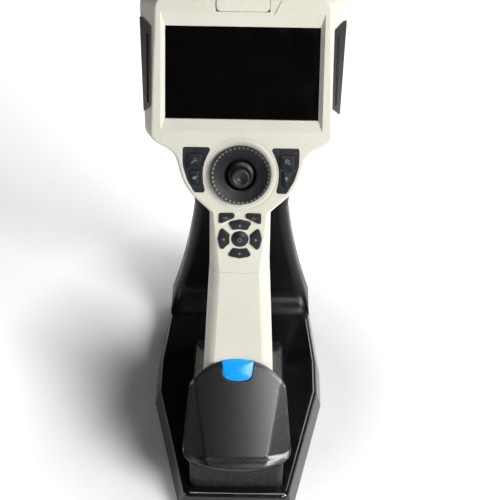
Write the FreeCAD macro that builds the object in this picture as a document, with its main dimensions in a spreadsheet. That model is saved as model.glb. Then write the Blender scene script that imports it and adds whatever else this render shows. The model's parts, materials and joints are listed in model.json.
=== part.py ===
import FreeCAD, Part
import math
import os
import Sketcher
from FreeCAD import Placement, Rotation, Vector

# A handheld videoscope handset on its desk stand.  Millimetres, +Z up, +Y away from the user,
# origin on the floor under the middle of the stand.  Pieces of the head are drawn in the head's
# own axes (X across, Z up the front face, Y into the head, origin at the joystick), pieces of
# the handle in the handle's axes (origin at the middle of the direction pad), and the battery
# cover in the axes of its own sloping face (origin at the top of its arch).

SIZES = {
    # stand
    "pad_high": 2, "slab_high": 18, "slab_half_wide": 74.4, "slab_half_long": 139,
    "slab_front_half": 46.8, "slab_back_half": 51, "slab_shoulder_half": 65.8,
    "slab_splay": 14.3, "slab_wide_from": -17.5, "slab_wide_to": 21, "slab_shoulder_y": 112,
    "well_half": 41, "well_front": -126, "well_back": 14.5, "well_deep": 4,
    "rib_count": 6, "rib_pitch": 2.8, "rib_wide": 1.3, "rib_high": 0.8, "rib_start": 19.5,
    "column_front": 96, "column_back": 126, "column_foot_half": 62.5, "column_waist_half": 42,
    "column_waist_z": 136, "column_top_half": 38, "foot_sweep": 23,
    "rest_low": 58, "rest_high": 112, "rest_pad_thick": 5, "rest_gap": 0.4,
    # attitude of the handset
    "head_y": -22, "head_z": 271.6, "head_lean": 26.5,
    "handle_y": -41.6, "handle_z": 222.6, "handle_lean": 16,
    "shield_y": -71.7, "shield_z": 117.9, "shield_lean": 40,
    # head
    "head_top": 139, "head_half": 78.8, "head_low_half": 74.4, "head_low": 26,
    "head_deep": 54, "seam_deep": 24, "bevel_deep": 13, "face_top_half": 65.4, "face_low_half": 69.6,
    "shell_wall": 3, "screen_wall": 5,
    "recess_half": 62, "recess_low": 33.5, "recess_high": 124.2, "recess_deep": 3.2,
    "window_half": 58.8, "window_low": 42.3, "window_high": 113.2, "glass_thick": 1.6,
    "flap_half": 20, "flap_low": 124.8, "flap_thick": 2.4, "flap_deep": 21,
    "gland_deep": 38, "gland_radius": 11, "gland_low": 120, "gland_long": 30,
    # joystick
    "dial_radius": 23, "dial_proud": 5, "dial_bore": 12, "dial_hub": 20.6, "collar_radius": 29,
    "stick_pivot": 13, "dome_radius": 16.6, "cap_radius": 6.9, "cap_proud": 14,
    # handle
    "handle_half": 23.8, "handle_deep": 42, "handle_corner": 10, "panel_reach": 8.8, "grip_low_half": 28.8,
    "grip_top": -27.3, "grip_dip": -30.3, "grip_low": -125, "deck_low": -149.7, "deck_half": 37,
    "neck_top": 23.3, "bend_v": -29.7,
    # battery
    "battery_half": 39, "battery_front": -125, "battery_back": 10, "battery_low": 16.3,
    "battery_split": 46.8, "cover_back": -83.3, "shield_wall": 3, "cell_radius": 9.1, "cell_long": 65,
    # fits
    "key_gap": 0.25, "key_skirt": 0.6, "key_corner": 1.4, "key_proud": 1.3,
}

DOC = FreeCAD.newDocument("Videoscope")
SHEET = DOC.addObject("Spreadsheet::Sheet", "Sizes")
NODES = []
CUTS = []
NORMAL = {"XY_Plane": 1, "XZ_Plane": -1, "YZ_Plane": 1}


class Size:
    """A number that also carries the sheet formula it came from."""

    def __init__(self, value, formula):
        self.value = value
        self.formula = formula

    def __add__(self, other):
        return combine(self, "+", other, self.value + value_of(other))

    def __sub__(self, other):
        return combine(self, "-", other, self.value - value_of(other))

    def __mul__(self, other):
        return combine(self, "*", other, self.value * value_of(other))

    def __truediv__(self, other):
        return combine(self, "/", other, self.value / value_of(other))

    def __radd__(self, other):
        return combine(other, "+", self, value_of(other) + self.value)

    def __rsub__(self, other):
        return combine(other, "-", self, value_of(other) - self.value)

    def __rmul__(self, other):
        return combine(other, "*", self, value_of(other) * self.value)

    def __neg__(self):
        return Size(-self.value, f"(0 - {self.formula})")


def value_of(number):
    return number.value if isinstance(number, Size) else float(number)


def formula_of(number):
    return number.formula if isinstance(number, Size) else f"({number})"


def combine(left, sign, right, value):
    return Size(value, f"({formula_of(left)} {sign} {formula_of(right)})")


def fill_sheet():
    """Write the driving dimensions and return them as Size values by name."""
    sizes = {}
    for row, (name, number) in enumerate(SIZES.items(), 1):
        SHEET.set(f"A{row}", name)
        SHEET.set(f"B{row}", str(number))
        SHEET.setAlias(f"B{row}", name)
        sizes[name] = Size(float(number), f"Sizes.{name}")
    DOC.recompute()
    return sizes


D = fill_sheet()


# ---- drawing and feature helpers ----------------------------------------------------------

def bind(item, path, number):
    """Bind one property to the sheet when the number comes from it."""
    if isinstance(number, Size):
        item.setExpression(path, number.formula)


def place(item, frame):
    """Give an object the origin and lean of one of the frames of the design."""
    if frame == "world":
        return
    y, z, lean = D[f"{frame}_y"], D[f"{frame}_z"], D[f"{frame}_lean"]
    item.Placement = Placement(Vector(0, y.value, z.value), Rotation(Vector(-1, 0, 0), lean.value))
    item.setExpression("Placement.Base.y", y.formula)
    item.setExpression("Placement.Base.z", z.formula)
    item.setExpression("Placement.Rotation.Angle", lean.formula)


def body_in(frame, label, node=True):
    body = DOC.addObject("PartDesign::Body", label)
    body.Label = label
    body.AllowCompound = True
    place(body, frame)
    if node:
        NODES.append(body)
    return body


def sketch(body, plane, at=0):
    """A sketch parallel to one of the body's own planes, at a place along its third axis."""
    drawing = body.newObject("Sketcher::SketchObject", f"{body.Label}_sketch")
    base = [item for item in body.Origin.OriginFeatures if item.Role == plane][0]
    drawing.AttachmentSupport = [(base, "")]
    drawing.MapMode = "FlatFace"
    offset = at * NORMAL[plane]
    drawing.AttachmentOffset = Placement(Vector(0, 0, value_of(offset)), Rotation())
    bind(drawing, "AttachmentOffset.Base.z", offset)
    return drawing


class Through:
    """A point that a curved edge of an outline passes through."""

    def __init__(self, x, y):
        self.x = x
        self.y = y


def flat(x, y):
    return Vector(value_of(x), value_of(y), 0)


def edge_between(start, through, end):
    points = [flat(*start)] + [flat(step.x, step.y) for step in through] + [flat(*end)]
    if len(points) == 2:
        return Part.LineSegment(*points)
    if len(points) == 3:
        return Part.Arc(*points)
    curve = Part.BSplineCurve()
    curve.interpolate(points)
    return curve


def hold(drawing, kind, edge, end, number):
    index = drawing.addConstraint(Sketcher.Constraint(kind, -1, 1, edge, end, value_of(number)))
    bind(drawing, f"Constraints[{index}]", number)


def outline(drawing, *steps):
    """A closed outline: (x, y) steps are its corners, Through steps bend the edge they are on."""
    corners = [index for index, step in enumerate(steps) if not isinstance(step, Through)]
    ends = []
    for order, index in enumerate(corners):
        following = corners[(order + 1) % len(corners)]
        last = following if following > index else len(steps)
        start, end = steps[index], steps[following]
        edge = drawing.addGeometry(edge_between(start, steps[index + 1:last], end))
        begins = drawing.getPoint(edge, 1).distanceToPoint(flat(*start)) < 1e-6
        ends.append((edge, 1 if begins else 2, 2 if begins else 1, start))
    for order, (edge, first, _, start) in enumerate(ends):
        before, _, last, _ = ends[order - 1]
        drawing.addConstraint(Sketcher.Constraint("Coincident", before, last, edge, first))
        hold(drawing, "DistanceX", edge, first, start[0])
        hold(drawing, "DistanceY", edge, first, start[1])
    return drawing


def both_sides(*steps):
    """The steps of a right-hand half outline, followed by their mirror images in reverse."""
    mirrored = []
    for step in reversed(steps):
        if isinstance(step, Through):
            mirrored.append(Through(-1 * step.x, step.y))
        else:
            mirrored.append((-1 * step[0], step[1]))
    return list(steps) + mirrored


def swap_sides(steps):
    return [(-1 * step[0], *step[1:]) for step in reversed(steps)]


def rounded(steps, radius):
    """The same corners with each one turned into an arc; a third number is a corner's own radius."""
    points = [flat(*step[:2]) for step in steps]
    result = []
    for index, corner in enumerate(points):
        before = points[index - 1] - corner
        after = points[(index + 1) % len(points)] - corner
        half_turn = before.getAngle(after) / 2
        wanted = steps[index][2] if len(steps[index]) > 2 else radius
        reach = min(wanted / math.tan(half_turn), 0.45 * before.Length, 0.45 * after.Length)
        before.normalize()
        after.normalize()
        arc_radius = reach * math.tan(half_turn)
        inward = before + after
        inward.normalize()
        centre = corner + inward * (arc_radius / math.sin(half_turn))
        first = corner + before * reach
        last = corner + after * reach
        middle_point = centre - inward * arc_radius
        result += [(first.x, first.y), Through(middle_point.x, middle_point.y), (last.x, last.y)]
    return result


def box_outline(drawing, x_low, x_high, y_low, y_high):
    return outline(drawing, (x_low, y_low), (x_high, y_low), (x_high, y_high), (x_low, y_high))


def circle(drawing, x, y, radius):
    edge = drawing.addGeometry(Part.Circle(flat(x, y), Vector(0, 0, 1), value_of(radius)))
    hold(drawing, "DistanceX", edge, 3, x)
    hold(drawing, "DistanceY", edge, 3, y)
    index = drawing.addConstraint(Sketcher.Constraint("Radius", edge, value_of(radius)))
    bind(drawing, f"Constraints[{index}]", radius)
    return drawing


def normal_of(drawing):
    return NORMAL[drawing.AttachmentSupport[0][0].Role]


def pad(body, drawing, length, toward=1, taper=0):
    """Add material from the sketch, toward the plus or minus side of its axis."""
    feature = body.newObject("PartDesign::Pad", f"{body.Label}_pad")
    feature.Profile = drawing
    feature.Length = value_of(length)
    feature.Reversed = toward != normal_of(drawing)
    feature.TaperAngle = value_of(taper)
    bind(feature, "Length", length)
    bind(feature, "TaperAngle", taper)
    return feature


def pocket(body, drawing, length, toward=1):
    """Take material away from the sketch, toward the plus or minus side of its axis."""
    DOC.recompute()
    before = body.Tip
    feature = body.newObject("PartDesign::Pocket", f"{body.Label}_pocket")
    feature.Profile = drawing
    feature.Length = value_of(length)
    feature.Reversed = toward == normal_of(drawing)
    bind(feature, "Length", length)
    CUTS.append((before, feature))
    return feature


def loft(body, kind, first, second):
    DOC.recompute()
    feature = body.newObject(f"PartDesign::{kind}Loft", f"{body.Label}_loft")
    feature.Profile = first
    feature.Sections = [second]
    return feature


def spin(body, drawing, kind="Revolution"):
    """Turn a sketch round its own upright axis."""
    feature = body.newObject(f"PartDesign::{kind}", f"{body.Label}_spin")
    feature.Profile = drawing
    feature.ReferenceAxis = (drawing, ["V_Axis"])
    feature.Angle = 360
    return feature


def middle(edge):
    return edge.valueAt((edge.FirstParameter + edge.LastParameter) / 2)


def runs_along(edge, axis):
    span = edge.valueAt(edge.LastParameter) - edge.valueAt(edge.FirstParameter)
    return span.Length > 1e-6 and abs(span.normalize().dot(axis)) > 0.97


def dress(body, kind, size, wanted):
    """Round or bevel the edges of the body that answer to the test."""
    DOC.recompute()
    base = body.Tip
    names = [f"Edge{index}" for index, edge in enumerate(base.Shape.Edges, 1)
             if wanted(middle(edge), edge)]
    if not names:
        raise ValueError(f"no edge to dress on {body.Label}")
    feature = body.newObject(f"PartDesign::{kind}", f"{body.Label}_{kind.lower()}")
    feature.Base = (base, names)
    setting = "Radius" if kind == "Fillet" else "Size"
    setattr(feature, setting, value_of(size))
    bind(feature, setting, size)
    return feature


def repeat(body, features, kind, settings):
    """Repeat features of a body as a pattern or a mirror image, and make that its result."""
    feature = body.newObject(f"PartDesign::{kind}", f"{body.Label}_{kind.lower()}")
    feature.Originals = features
    for name, setting in settings.items():
        setattr(feature, name, setting)
    body.Tip = feature
    return feature


def origin_item(body, role):
    return [item for item in body.Origin.OriginFeatures if item.Role == role][0]


def mirror_sides(body, features):
    return repeat(body, features, "Mirrored", {"MirrorPlane": (origin_item(body, "YZ_Plane"), [""])})


def boolean(kind, label, base, tools, node=True):
    """A Part boolean of finished bodies."""
    result = DOC.addObject(f"Part::{kind}", label)
    result.Label = label
    if kind == "Cut":
        result.Base = base
        result.Tool = tools
    else:
        result.Shapes = [base] + tools
    if node:
        NODES.append(result)
    return result


X, Y, Z = Vector(1, 0, 0), Vector(0, 1, 0), Vector(0, 0, 1)


# ---- stand ----------------------------------------------------------------------------------

def slab_corners(inset=0):
    """Corners of the slab's long hexagon, drawn in by an inset."""
    across = (D["slab_half_wide"] - inset) / D["slab_half_wide"]
    along = (D["slab_half_long"] - inset) / D["slab_half_long"]
    half = [
        (D["slab_front_half"], -D["slab_half_long"]),
        (D["slab_half_wide"], D["slab_wide_from"]),
        (D["slab_half_wide"], D["slab_wide_to"]),
        (D["slab_shoulder_half"], D["slab_shoulder_y"]),
        (D["slab_back_half"], D["slab_half_long"]),
    ]
    return both_sides(*[(x * across, y * along) for x, y in half])


def stand_base():
    body = body_in("world", "stand_base")
    top = D["pad_high"] + D["slab_high"]
    drawing = outline(sketch(body, "XY_Plane", D["pad_high"]), *slab_corners())
    pad(body, drawing, D["slab_high"], taper=-1 * D["slab_splay"])
    dress(body, "Fillet", 7, lambda at, edge: abs(edge.valueAt(edge.FirstParameter).z
                                                 - edge.valueAt(edge.LastParameter).z) > 9)
    dress(body, "Fillet", 4.5, lambda at, edge: at.z > value_of(top) - 0.01)
    well = box_outline(sketch(body, "XY_Plane", top), -D["well_half"], D["well_half"],
                       D["well_front"], D["well_back"])
    pocket(body, well, D["well_deep"], toward=-1)
    dress(body, "Fillet", 3, lambda at, edge: runs_along(edge, Z)
          and abs(at.z - (value_of(top) - 2)) < 0.6)
    cavity = outline(sketch(body, "XY_Plane", D["pad_high"]), *slab_corners(7))
    pocket(body, cavity, D["slab_high"] - 8)
    lid_seat = outline(sketch(body, "XY_Plane", D["pad_high"]), *slab_corners(4))
    pocket(body, lid_seat, 2.5)
    half = D["column_foot_half"] + 2
    start = D["rib_start"]
    rib_end = sketch(body, "YZ_Plane", -half)
    box_outline(rib_end, start, start + D["rib_wide"], top - 0.2, top + D["rib_high"])
    rib = pad(body, rib_end, half * 2)
    rows = int(value_of(D["rib_count"]))
    repeat(body, [rib], "LinearPattern", {
        "Direction": (origin_item(body, "Y_Axis"), [""]),
        "Length": value_of(D["rib_pitch"]) * (rows - 1), "Occurrences": rows})


def column_side():
    """Corners of the column seen from the side: foot sweep, shaft, rest for the head, back."""
    floor = D["pad_high"] + D["slab_high"]
    front = D["column_front"]
    sweep = D["foot_sweep"]
    knee = 0.3
    back = D["column_back"]
    return [
        (front - sweep, floor), Through(front - sweep * knee, floor + sweep * knee),
        (front, floor + sweep), (front, 136), Through(front - 9, 218),
        rest_point("rest_low"), rest_point("rest_high"),
        Through(front - 7, 353.5), (front + 3, 348), Through(front + 22, 288), (back, 226), (back, floor),
    ]


def rest_point(along):
    """A point of the rest plane, which lies behind the head's back, parallel to it."""
    lean = math.radians(SIZES["head_lean"])
    back = D["head_deep"] + D["rest_gap"] + D["rest_pad_thick"]
    y = D["head_y"] + back * math.cos(lean) + D[along] * math.sin(lean)
    z = D["head_z"] - back * math.sin(lean) + D[along] * math.cos(lean)
    return (y, z)


def stand_column():
    body = body_in("world", "stand_column")
    wide = D["column_foot_half"] + 4
    drawing = outline(sketch(body, "YZ_Plane", -wide), *column_side())
    pad(body, drawing, wide * 2)
    floor = D["pad_high"] + D["slab_high"]
    waist = D["column_waist_half"]
    waist_z = D["column_waist_z"]
    sides = sketch(body, "XZ_Plane", D["column_front"] - 80)
    outline(sides, (D["column_foot_half"] + 3, floor), Through(waist + 8.6, floor + 58), (waist, waist_z),
            Through(waist + 6, waist_z + 90), (D["column_top_half"], 362), (90, 362), (90, floor))
    cut = pocket(body, sides, 200)
    mirror_sides(body, [cut])
    dress(body, "Chamfer", 6, lambda at, edge: abs(at.x) > 36 and at.z > 45
          and edge.Length > 20 and not runs_along(edge, X))
    recess = box_outline(sketch(body, "XZ_Plane", D["column_back"]), -33, 33, 34, 206)
    pocket(body, recess, 2.2, toward=-1)
    hollow = box_outline(sketch(body, "XZ_Plane", D["column_back"]), -29, 29, 40, 200)
    pocket(body, hollow, 24, toward=-1)


def column_back_cover():
    body = body_in("world", "column_back_cover")
    drawing = box_outline(sketch(body, "XZ_Plane", D["column_back"] - 0.1), -32.7, 32.7, 34.3, 205.7)
    pad(body, drawing, 2.1, toward=-1)
    dress(body, "Fillet", 4, lambda at, edge: runs_along(edge, Y))


def head_rest_pad():
    body = body_in("head", "head_rest_pad")
    at = D["head_deep"] + D["rest_gap"]
    drawing = box_outline(sketch(body, "XZ_Plane", at), -30, 30, D["rest_low"] + 4, D["rest_high"] - 4)
    pad(body, drawing, D["rest_pad_thick"])
    dress(body, "Fillet", 6, lambda at, edge: runs_along(edge, Y))


def stand_bottom_cover():
    body = body_in("world", "stand_bottom_cover")
    drawing = outline(sketch(body, "XY_Plane", D["pad_high"]), *slab_corners(4.6))
    pad(body, drawing, 2.2)


def stand_ballast():
    body = body_in("world", "stand_ballast")
    pad(body, box_outline(sketch(body, "XY_Plane", 4.5), -50, 50, -20, 62), 6)


def stand_foot_pads():
    body = body_in("world", "stand_foot_pads")
    drawing = sketch(body, "XY_Plane", 0)
    for x, y in ((38, -122), (60, 30), (46, 122)):
        circle(drawing, x, y, 7)
        circle(drawing, -x, y, 7)
    pad(body, drawing, D["pad_high"])


def stand_screws():
    body = body_in("world", "stand_screws")
    drawing = sketch(body, "XZ_Plane", D["column_back"] - 0.1)
    for x in (-27, 27):
        for z in (40, 200):
            circle(drawing, x, z, 2.6)
    pad(body, drawing, 1)


# ---- head shells ----------------------------------------------------------------------------

def head_outline(top_half, low_half, top_drop=0, inset=0):
    """The head seen from the front: sharp corners above, one flowing curve down to the neck."""
    high = D["head_top"] - top_drop - inset
    slant = 0.545
    side_half = low_half - inset
    return both_sides(
        (top_half - inset, high), (side_half, 18 + (side_half - 54.6 + inset) * slant + inset),
        (60 - inset, 20.9 + inset),
        Through(55 - inset, 18 + inset), Through(51 - inset, 13.6 + inset), Through(48.4 - inset, 6),
        Through(44.6 - inset, -6), Through(38 - inset, -16.4), Through(30.4 - inset, -23.6),
        (D["handle_half"] - inset, D["bend_v"]),
    )


def round_head_corners(body):
    """Round the four outer corners of a half of the head, seen from the front."""
    def corner(at, edge):
        return abs(at.x) > 63 and not runs_along(edge, X) and not runs_along(edge, Z)

    dress(body, "Fillet", 11, lambda at, edge: corner(at, edge) and at.z > 120)
    dress(body, "Fillet", 8, lambda at, edge: corner(at, edge) and abs(at.x) > 68 and at.z < 40)


def front_head():
    """Front half of the head: bevelled sides, recess and opening for the display, hollow back."""
    body = body_in("head", "front_head", node=False)
    bevel = D["bevel_deep"]
    face_size = (D["face_top_half"], D["face_low_half"], 2.5)
    wide_size = (D["head_half"], D["head_low_half"])
    face = outline(sketch(body, "XZ_Plane", 0), *head_outline(*face_size))
    wide = outline(sketch(body, "XZ_Plane", bevel), *head_outline(*wide_size))
    loft(body, "Additive", face, wide)
    again = outline(sketch(body, "XZ_Plane", bevel), *head_outline(*wide_size))
    pad(body, again, D["seam_deep"] - bevel)
    round_head_corners(body)
    dress(body, "Fillet", 2.2, lambda at, edge: at.y < 0.01 and at.z > -29)
    wall = D["shell_wall"]
    upper = box_outline(sketch(body, "XZ_Plane", D["screen_wall"]), -66, 66, 34, 131)
    pocket(body, upper, D["seam_deep"])
    lower = outline(sketch(body, "XZ_Plane", wall), *both_sides(
        (47, 34.5), (45, 8), (41.6, -5), (36, -14), (27, -22), (D["handle_half"] - wall, -30)))
    pocket(body, lower, D["seam_deep"])
    rim = box_outline(sketch(body, "XZ_Plane", 0), -D["recess_half"], D["recess_half"],
                      D["recess_low"], D["recess_high"])
    floor = box_outline(sketch(body, "XZ_Plane", D["recess_deep"]), -D["window_half"], D["window_half"],
                        D["window_low"], D["window_high"])
    loft(body, "Subtractive", rim, floor)
    opening = box_outline(sketch(body, "XZ_Plane", 0), -D["window_half"], D["window_half"],
                          D["window_low"], D["window_high"])
    pocket(body, opening, D["screen_wall"] + 2)
    port_bay = box_outline(sketch(body, "XZ_Plane", -1), -D["flap_half"] - 0.4, D["flap_half"] + 0.4,
                           D["flap_low"] - 0.4, D["head_top"] + 1)
    pocket(body, port_bay, D["flap_deep"] + 2)
    collar = circle(sketch(body, "XZ_Plane", 0), 0, 0, D["collar_radius"])
    pocket(body, collar, 1)
    hub_hole = circle(sketch(body, "XZ_Plane", 0), 0, 0, D["dial_hub"] + 0.4)
    pocket(body, hub_hole, wall + 1)
    plates = sketch(body, "XZ_Plane", 0)
    for corners in (plate_corners(0.2), swap_sides(plate_corners(0.2))):
        outline(plates, *rounded(corners, 2))
    pocket(body, plates, 2)
    for corners in (upper_key(), lower_key()):
        for steps in (corners, swap_sides(corners)):
            key_hole(body, steps, wall + 1)
    flap_bay = outline(sketch(body, "XZ_Plane", 0), *both_sides((23.7, 122.3), (28.9, 133.3)))
    pocket(body, flap_bay, 0.7)
    return body


def grown(steps, gap):
    """The corners of a small outline moved away from its middle by a gap."""
    middle_x = sum(x for x, _ in steps) / len(steps)
    middle_y = sum(y for _, y in steps) / len(steps)
    return [(x + value_of(gap) * away(x, middle_x), y + value_of(gap) * away(y, middle_y))
            for x, y in steps]


def away(number, centre):
    """1 above the centre, -1 below it, and 0 on it."""
    return (number > centre + 0.01) - (number < centre - 0.01)


def key_hole(body, steps, deep):
    """An opening for a key, with the running gap all round."""
    corner = SIZES["key_corner"] + SIZES["key_gap"]
    drawing = outline(sketch(body, "XZ_Plane", -1), *rounded(grown(steps, D["key_gap"]), corner))
    return pocket(body, drawing, deep + 1)


def plate_corners(gap=0):
    """Corners of the right-hand key plate, whose inner edge follows the dial's collar."""
    reach = 29.9 - gap
    inner = [(reach * math.cos(math.radians(turn)), reach * math.sin(math.radians(turn)), 30)
             for turn in (22, 5, -12)]
    return [
        (22.9 - gap, 21 + gap), *inner, (27.4 - gap, -14.6 - gap), (35.5 + gap, -14.6 - gap),
        (41.2 + gap, -5, 20), (44.8 + gap, 7, 20), (44.8 + gap, 21 + gap),
    ]


def upper_key():
    return [(30.2, 8.5), (32.1, 5), (41.6, 4.6), (41.8, 15.8), (29.6, 16)]


def lower_key():
    return [(32.1, -7.4), (33.9, -9), (36.4, -8.2), (40.4, 2.8), (32.1, 3)]


def front_corner(half, reach, drop, wall=0):
    """From the edge of the flat front panel round to the side, with a crease at the panel."""
    return [(half - reach, wall), Through(half - reach * 0.37 - wall, drop * 0.33 + wall),
            (half - wall, drop)]


def back_corner(half, deep, wall=0):
    corner = D["handle_corner"]
    bend = corner * 0.293
    return [(half - wall, deep - corner), Through(half - bend - wall, deep - bend - wall),
            (half - corner, deep - wall)]


def neck_half(label, front):
    """Front or back half of the neck, where the head runs down into the handle."""
    body = body_in("handle", label, node=False)
    half = D["handle_half"]
    middle_deep = D["handle_deep"] / 2
    low = D["grip_dip"] - 3
    sections = []
    for height, reach, drop in ((low, D["panel_reach"], D["handle_corner"]), (D["neck_top"], 2.8, 5)):
        drawing = sketch(body, "XY_Plane", height)
        if front:
            right = front_corner(half, reach, drop) + [(half, middle_deep)]
        else:
            right = [(half, middle_deep)] + back_corner(half, D["handle_deep"])
        sections.append(outline(drawing, *both_sides(*right)))
    loft(body, "Additive", *sections)
    hollow = sketch(body, "XY_Plane", low)
    wall = D["shell_wall"]
    if front:
        box_outline(hollow, wall - half, half - wall, wall, middle_deep)
    else:
        box_outline(hollow, wall - half, half - wall, middle_deep, D["handle_deep"] - wall)
    pocket(body, hollow, D["neck_top"] - low)
    seam = sketch(body, "XZ_Plane", -1)
    outline(seam, (-30, D["grip_top"] + 0.2), Through(0, D["grip_dip"] + 0.2),
            (30, D["grip_top"] + 0.2), (30, -50), (-30, -50))
    pocket(body, seam, D["handle_deep"] + 2)
    if front:
        for steps in handle_keys().values():
            key_hole(body, steps, wall + 1)
        hole = circle(sketch(body, "XZ_Plane", 0), 0, 0, 6.75 + D["key_gap"])
        pocket(body, hole, wall + 1)
    return body


def handle_keys():
    """Outlines of the keys of the handle, apart from the round one in the middle of the pad."""
    corner_key = [(16.3, 13.6), (16.3, 22.1), (5.9, 22.3), (3.9, 20.6), (5, 18.2), (14.2, 13.6)]
    up = [(-5.6, 8), (0, 8.7), (5.6, 8), (9, 13.6), (7, 15.2), (0, 16.8), (-7, 15.2), (-9, 13.6)]
    side = [(8, -3.6), (8.4, 0), (8, 3.6), (13.6, 9.4), (15.6, 7), (17.3, 0), (15.6, -7), (13.6, -9.4)]
    return {
        "key_book": swap_sides(corner_key), "key_capture": corner_key, "key_up": up,
        "key_down": [(x, -y) for x, y in up], "key_right": side, "key_left": swap_sides(side),
    }


def grip_insert(label, side):
    """Soft insert let into the bevel and side of the head, with a long groove down it."""
    body = body_in("head", f"{label}_block", node=False)
    sections = []
    low, high = 26, 137
    for height in (45, 118):
        share = (height - low) / (high - low)
        crease = D["face_low_half"] + (D["face_top_half"] - D["face_low_half"]) * share
        widest = D["head_low_half"] + (D["head_half"] - D["head_low_half"]) * share
        inner = 69.4
        slope = D["bevel_deep"] / (widest - crease)
        corners = [
            (inner, slope * (inner - crease) - 0.6), (widest + 0.6, D["bevel_deep"] - 0.6),
            (widest + 0.6, D["seam_deep"] - 4), (widest - 1.6, D["seam_deep"] - 4),
            (widest - 1.6, D["bevel_deep"] + 0.8), (inner, slope * (inner - crease) + 1.6),
        ]
        corners = corners if side > 0 else swap_sides(corners)
        sections.append(outline(sketch(body, "XY_Plane", height), *corners))
    loft(body, "Additive", *sections)
    above = sketch(body, "XZ_Plane", -5)
    outline(above, (side * 60, 105), (side * 69.2, 112), (side * 82, 123), (side * 60, 123))
    pocket(body, above, 40)
    below = sketch(body, "XZ_Plane", -5)
    outline(below, (side * 60, 58.5), (side * 69.6, 51.8), (side * 82, 40.5), (side * 60, 40.5))
    pocket(body, below, 40)
    groove = body_in("head", f"{label}_groove", node=False)
    drawing = sketch(groove, "XZ_Plane", -5)
    box_outline(drawing, side * 72.2 - 1.1, side * 72.2 + 1.1, 54, 107)
    pad(groove, drawing, 11.9, toward=1)
    boolean("Cut", label, body, groove)
    return body


def rear_head():
    """Back half of the head: a shallow tray with bevelled back edges."""
    body = body_in("head", "rear_head", node=False)
    seam = D["seam_deep"] + 0.1
    wide_size = (D["head_half"], D["head_low_half"])
    middle_deep = D["head_deep"] - 14
    block = outline(sketch(body, "XZ_Plane", seam), *head_outline(*wide_size))
    pad(body, block, D["head_deep"] - seam, toward=1)
    round_head_corners(body)
    dress(body, "Fillet", 7.5, lambda at, edge: at.y > value_of(D["head_deep"]) - 0.01 and at.z > -29)
    wall = D["shell_wall"]
    upper = box_outline(sketch(body, "XZ_Plane", seam), -70, 70, 33, 130)
    pocket(body, upper, middle_deep - seam)
    lower = outline(sketch(body, "XZ_Plane", seam), *both_sides(
        (47, 33.5), (43, 12), (40.5, -2), (24.5, -20), (D["handle_half"] - wall, -30)))
    pocket(body, lower, 15)
    back = box_outline(sketch(body, "XZ_Plane", middle_deep), -54, 54, 44, 117)
    pocket(body, back, D["head_deep"] - middle_deep - wall)
    throat = sketch(body, "YZ_Plane", -60)
    outline(throat, (43.4, -31), Through(46, -8), (D["head_deep"], 30), (60, 30), (60, -31))
    pocket(body, throat, 120)
    return body


def head_shells():
    """The two moulded halves: each is the head and its half of the neck in one piece."""
    inserts = [grip_insert("left_grip_insert", -1), grip_insert("right_grip_insert", 1)]
    whole_front = boolean("MultiFuse", "whole_front", front_head(), [neck_half("neck_front", True)], False)
    pair = boolean("MultiFuse", "insert_pair", inserts[0], [inserts[1]], False)
    boolean("Cut", "front_shell", whole_front, pair)
    whole_rear = boolean("MultiFuse", "whole_rear", rear_head(), [neck_half("neck_back", False)], False)
    gland = body_in("head", "gland_seat", node=False)
    seat = circle(sketch(gland, "XY_Plane", D["gland_low"] - 1), 0, D["gland_deep"], D["gland_radius"] + 0.2)
    pad(gland, seat, D["gland_long"], toward=1)
    tools = boolean("MultiFuse", "rear_tools", gland, [whole_front], False)
    boolean("Cut", "rear_shell", whole_rear, tools)


def probe_socket():
    """Outlet gland in the head's top edge, where the insertion tube plugs in."""
    body = body_in("head", "probe_socket")
    drawing = circle(sketch(body, "XY_Plane", D["gland_low"]), 0, D["gland_deep"], D["gland_radius"])
    pad(body, drawing, D["gland_long"], toward=1)
    mouth = D["gland_low"] + D["gland_long"]
    dress(body, "Chamfer", 1.2, lambda at, edge: at.z > value_of(mouth) - 0.01)
    bore = circle(sketch(body, "XY_Plane", mouth), 0, D["gland_deep"], 6)
    pocket(body, bore, 16, toward=-1)


def display_window():
    body = body_in("head", "display_window")
    drawing = box_outline(sketch(body, "XZ_Plane", D["screen_wall"] + 0.5), -62.5, 62.5, 38.5, 117)
    pad(body, drawing, D["glass_thick"], toward=1)


def window_gasket():
    body = body_in("head", "window_gasket")
    drawing = sketch(body, "XZ_Plane", D["screen_wall"])
    box_outline(drawing, -62.5, 62.5, 38.5, 117)
    box_outline(drawing, -D["window_half"] - 0.5, D["window_half"] + 0.5, D["window_low"] - 0.5,
                D["window_high"] + 0.5)
    pad(body, drawing, 0.5, toward=1)


def display_panel():
    body = body_in("head", "display_panel")
    drawing = box_outline(sketch(body, "XZ_Plane", D["screen_wall"] + 2.4), -61.5, 61.5, 39.5, 116)
    pad(body, drawing, 4, toward=1)


def display_bracket():
    """Sheet frame behind the panel, with folded flanges above and below."""
    body = body_in("head", "display_bracket")
    at = D["screen_wall"] + 6.6
    drawing = sketch(body, "XZ_Plane", at)
    box_outline(drawing, -63.5, 63.5, 37, 118.5)
    box_outline(drawing, -48, 48, 52, 104)
    pad(body, drawing, 1, toward=1)
    flanges = sketch(body, "XZ_Plane", at)
    box_outline(flanges, -63.5, 63.5, 117.5, 118.5)
    box_outline(flanges, -63.5, 63.5, 37, 38)
    pad(body, flanges, 5.5, toward=1)


def main_board():
    body = body_in("head", "main_board")
    pad(body, box_outline(sketch(body, "XZ_Plane", 22), -58, 58, 42, 113), 1.6, toward=1)
    chips = sketch(body, "XZ_Plane", 23.6)
    for x, z, wide, high in ((-30, 88, 26, 26), (8, 92, 18, 14), (34, 70, 20, 24), (-8, 58, 30, 12)):
        box_outline(chips, x - wide / 2, x + wide / 2, z - high / 2, z + high / 2)
    pad(body, chips, 3, toward=1)


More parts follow.
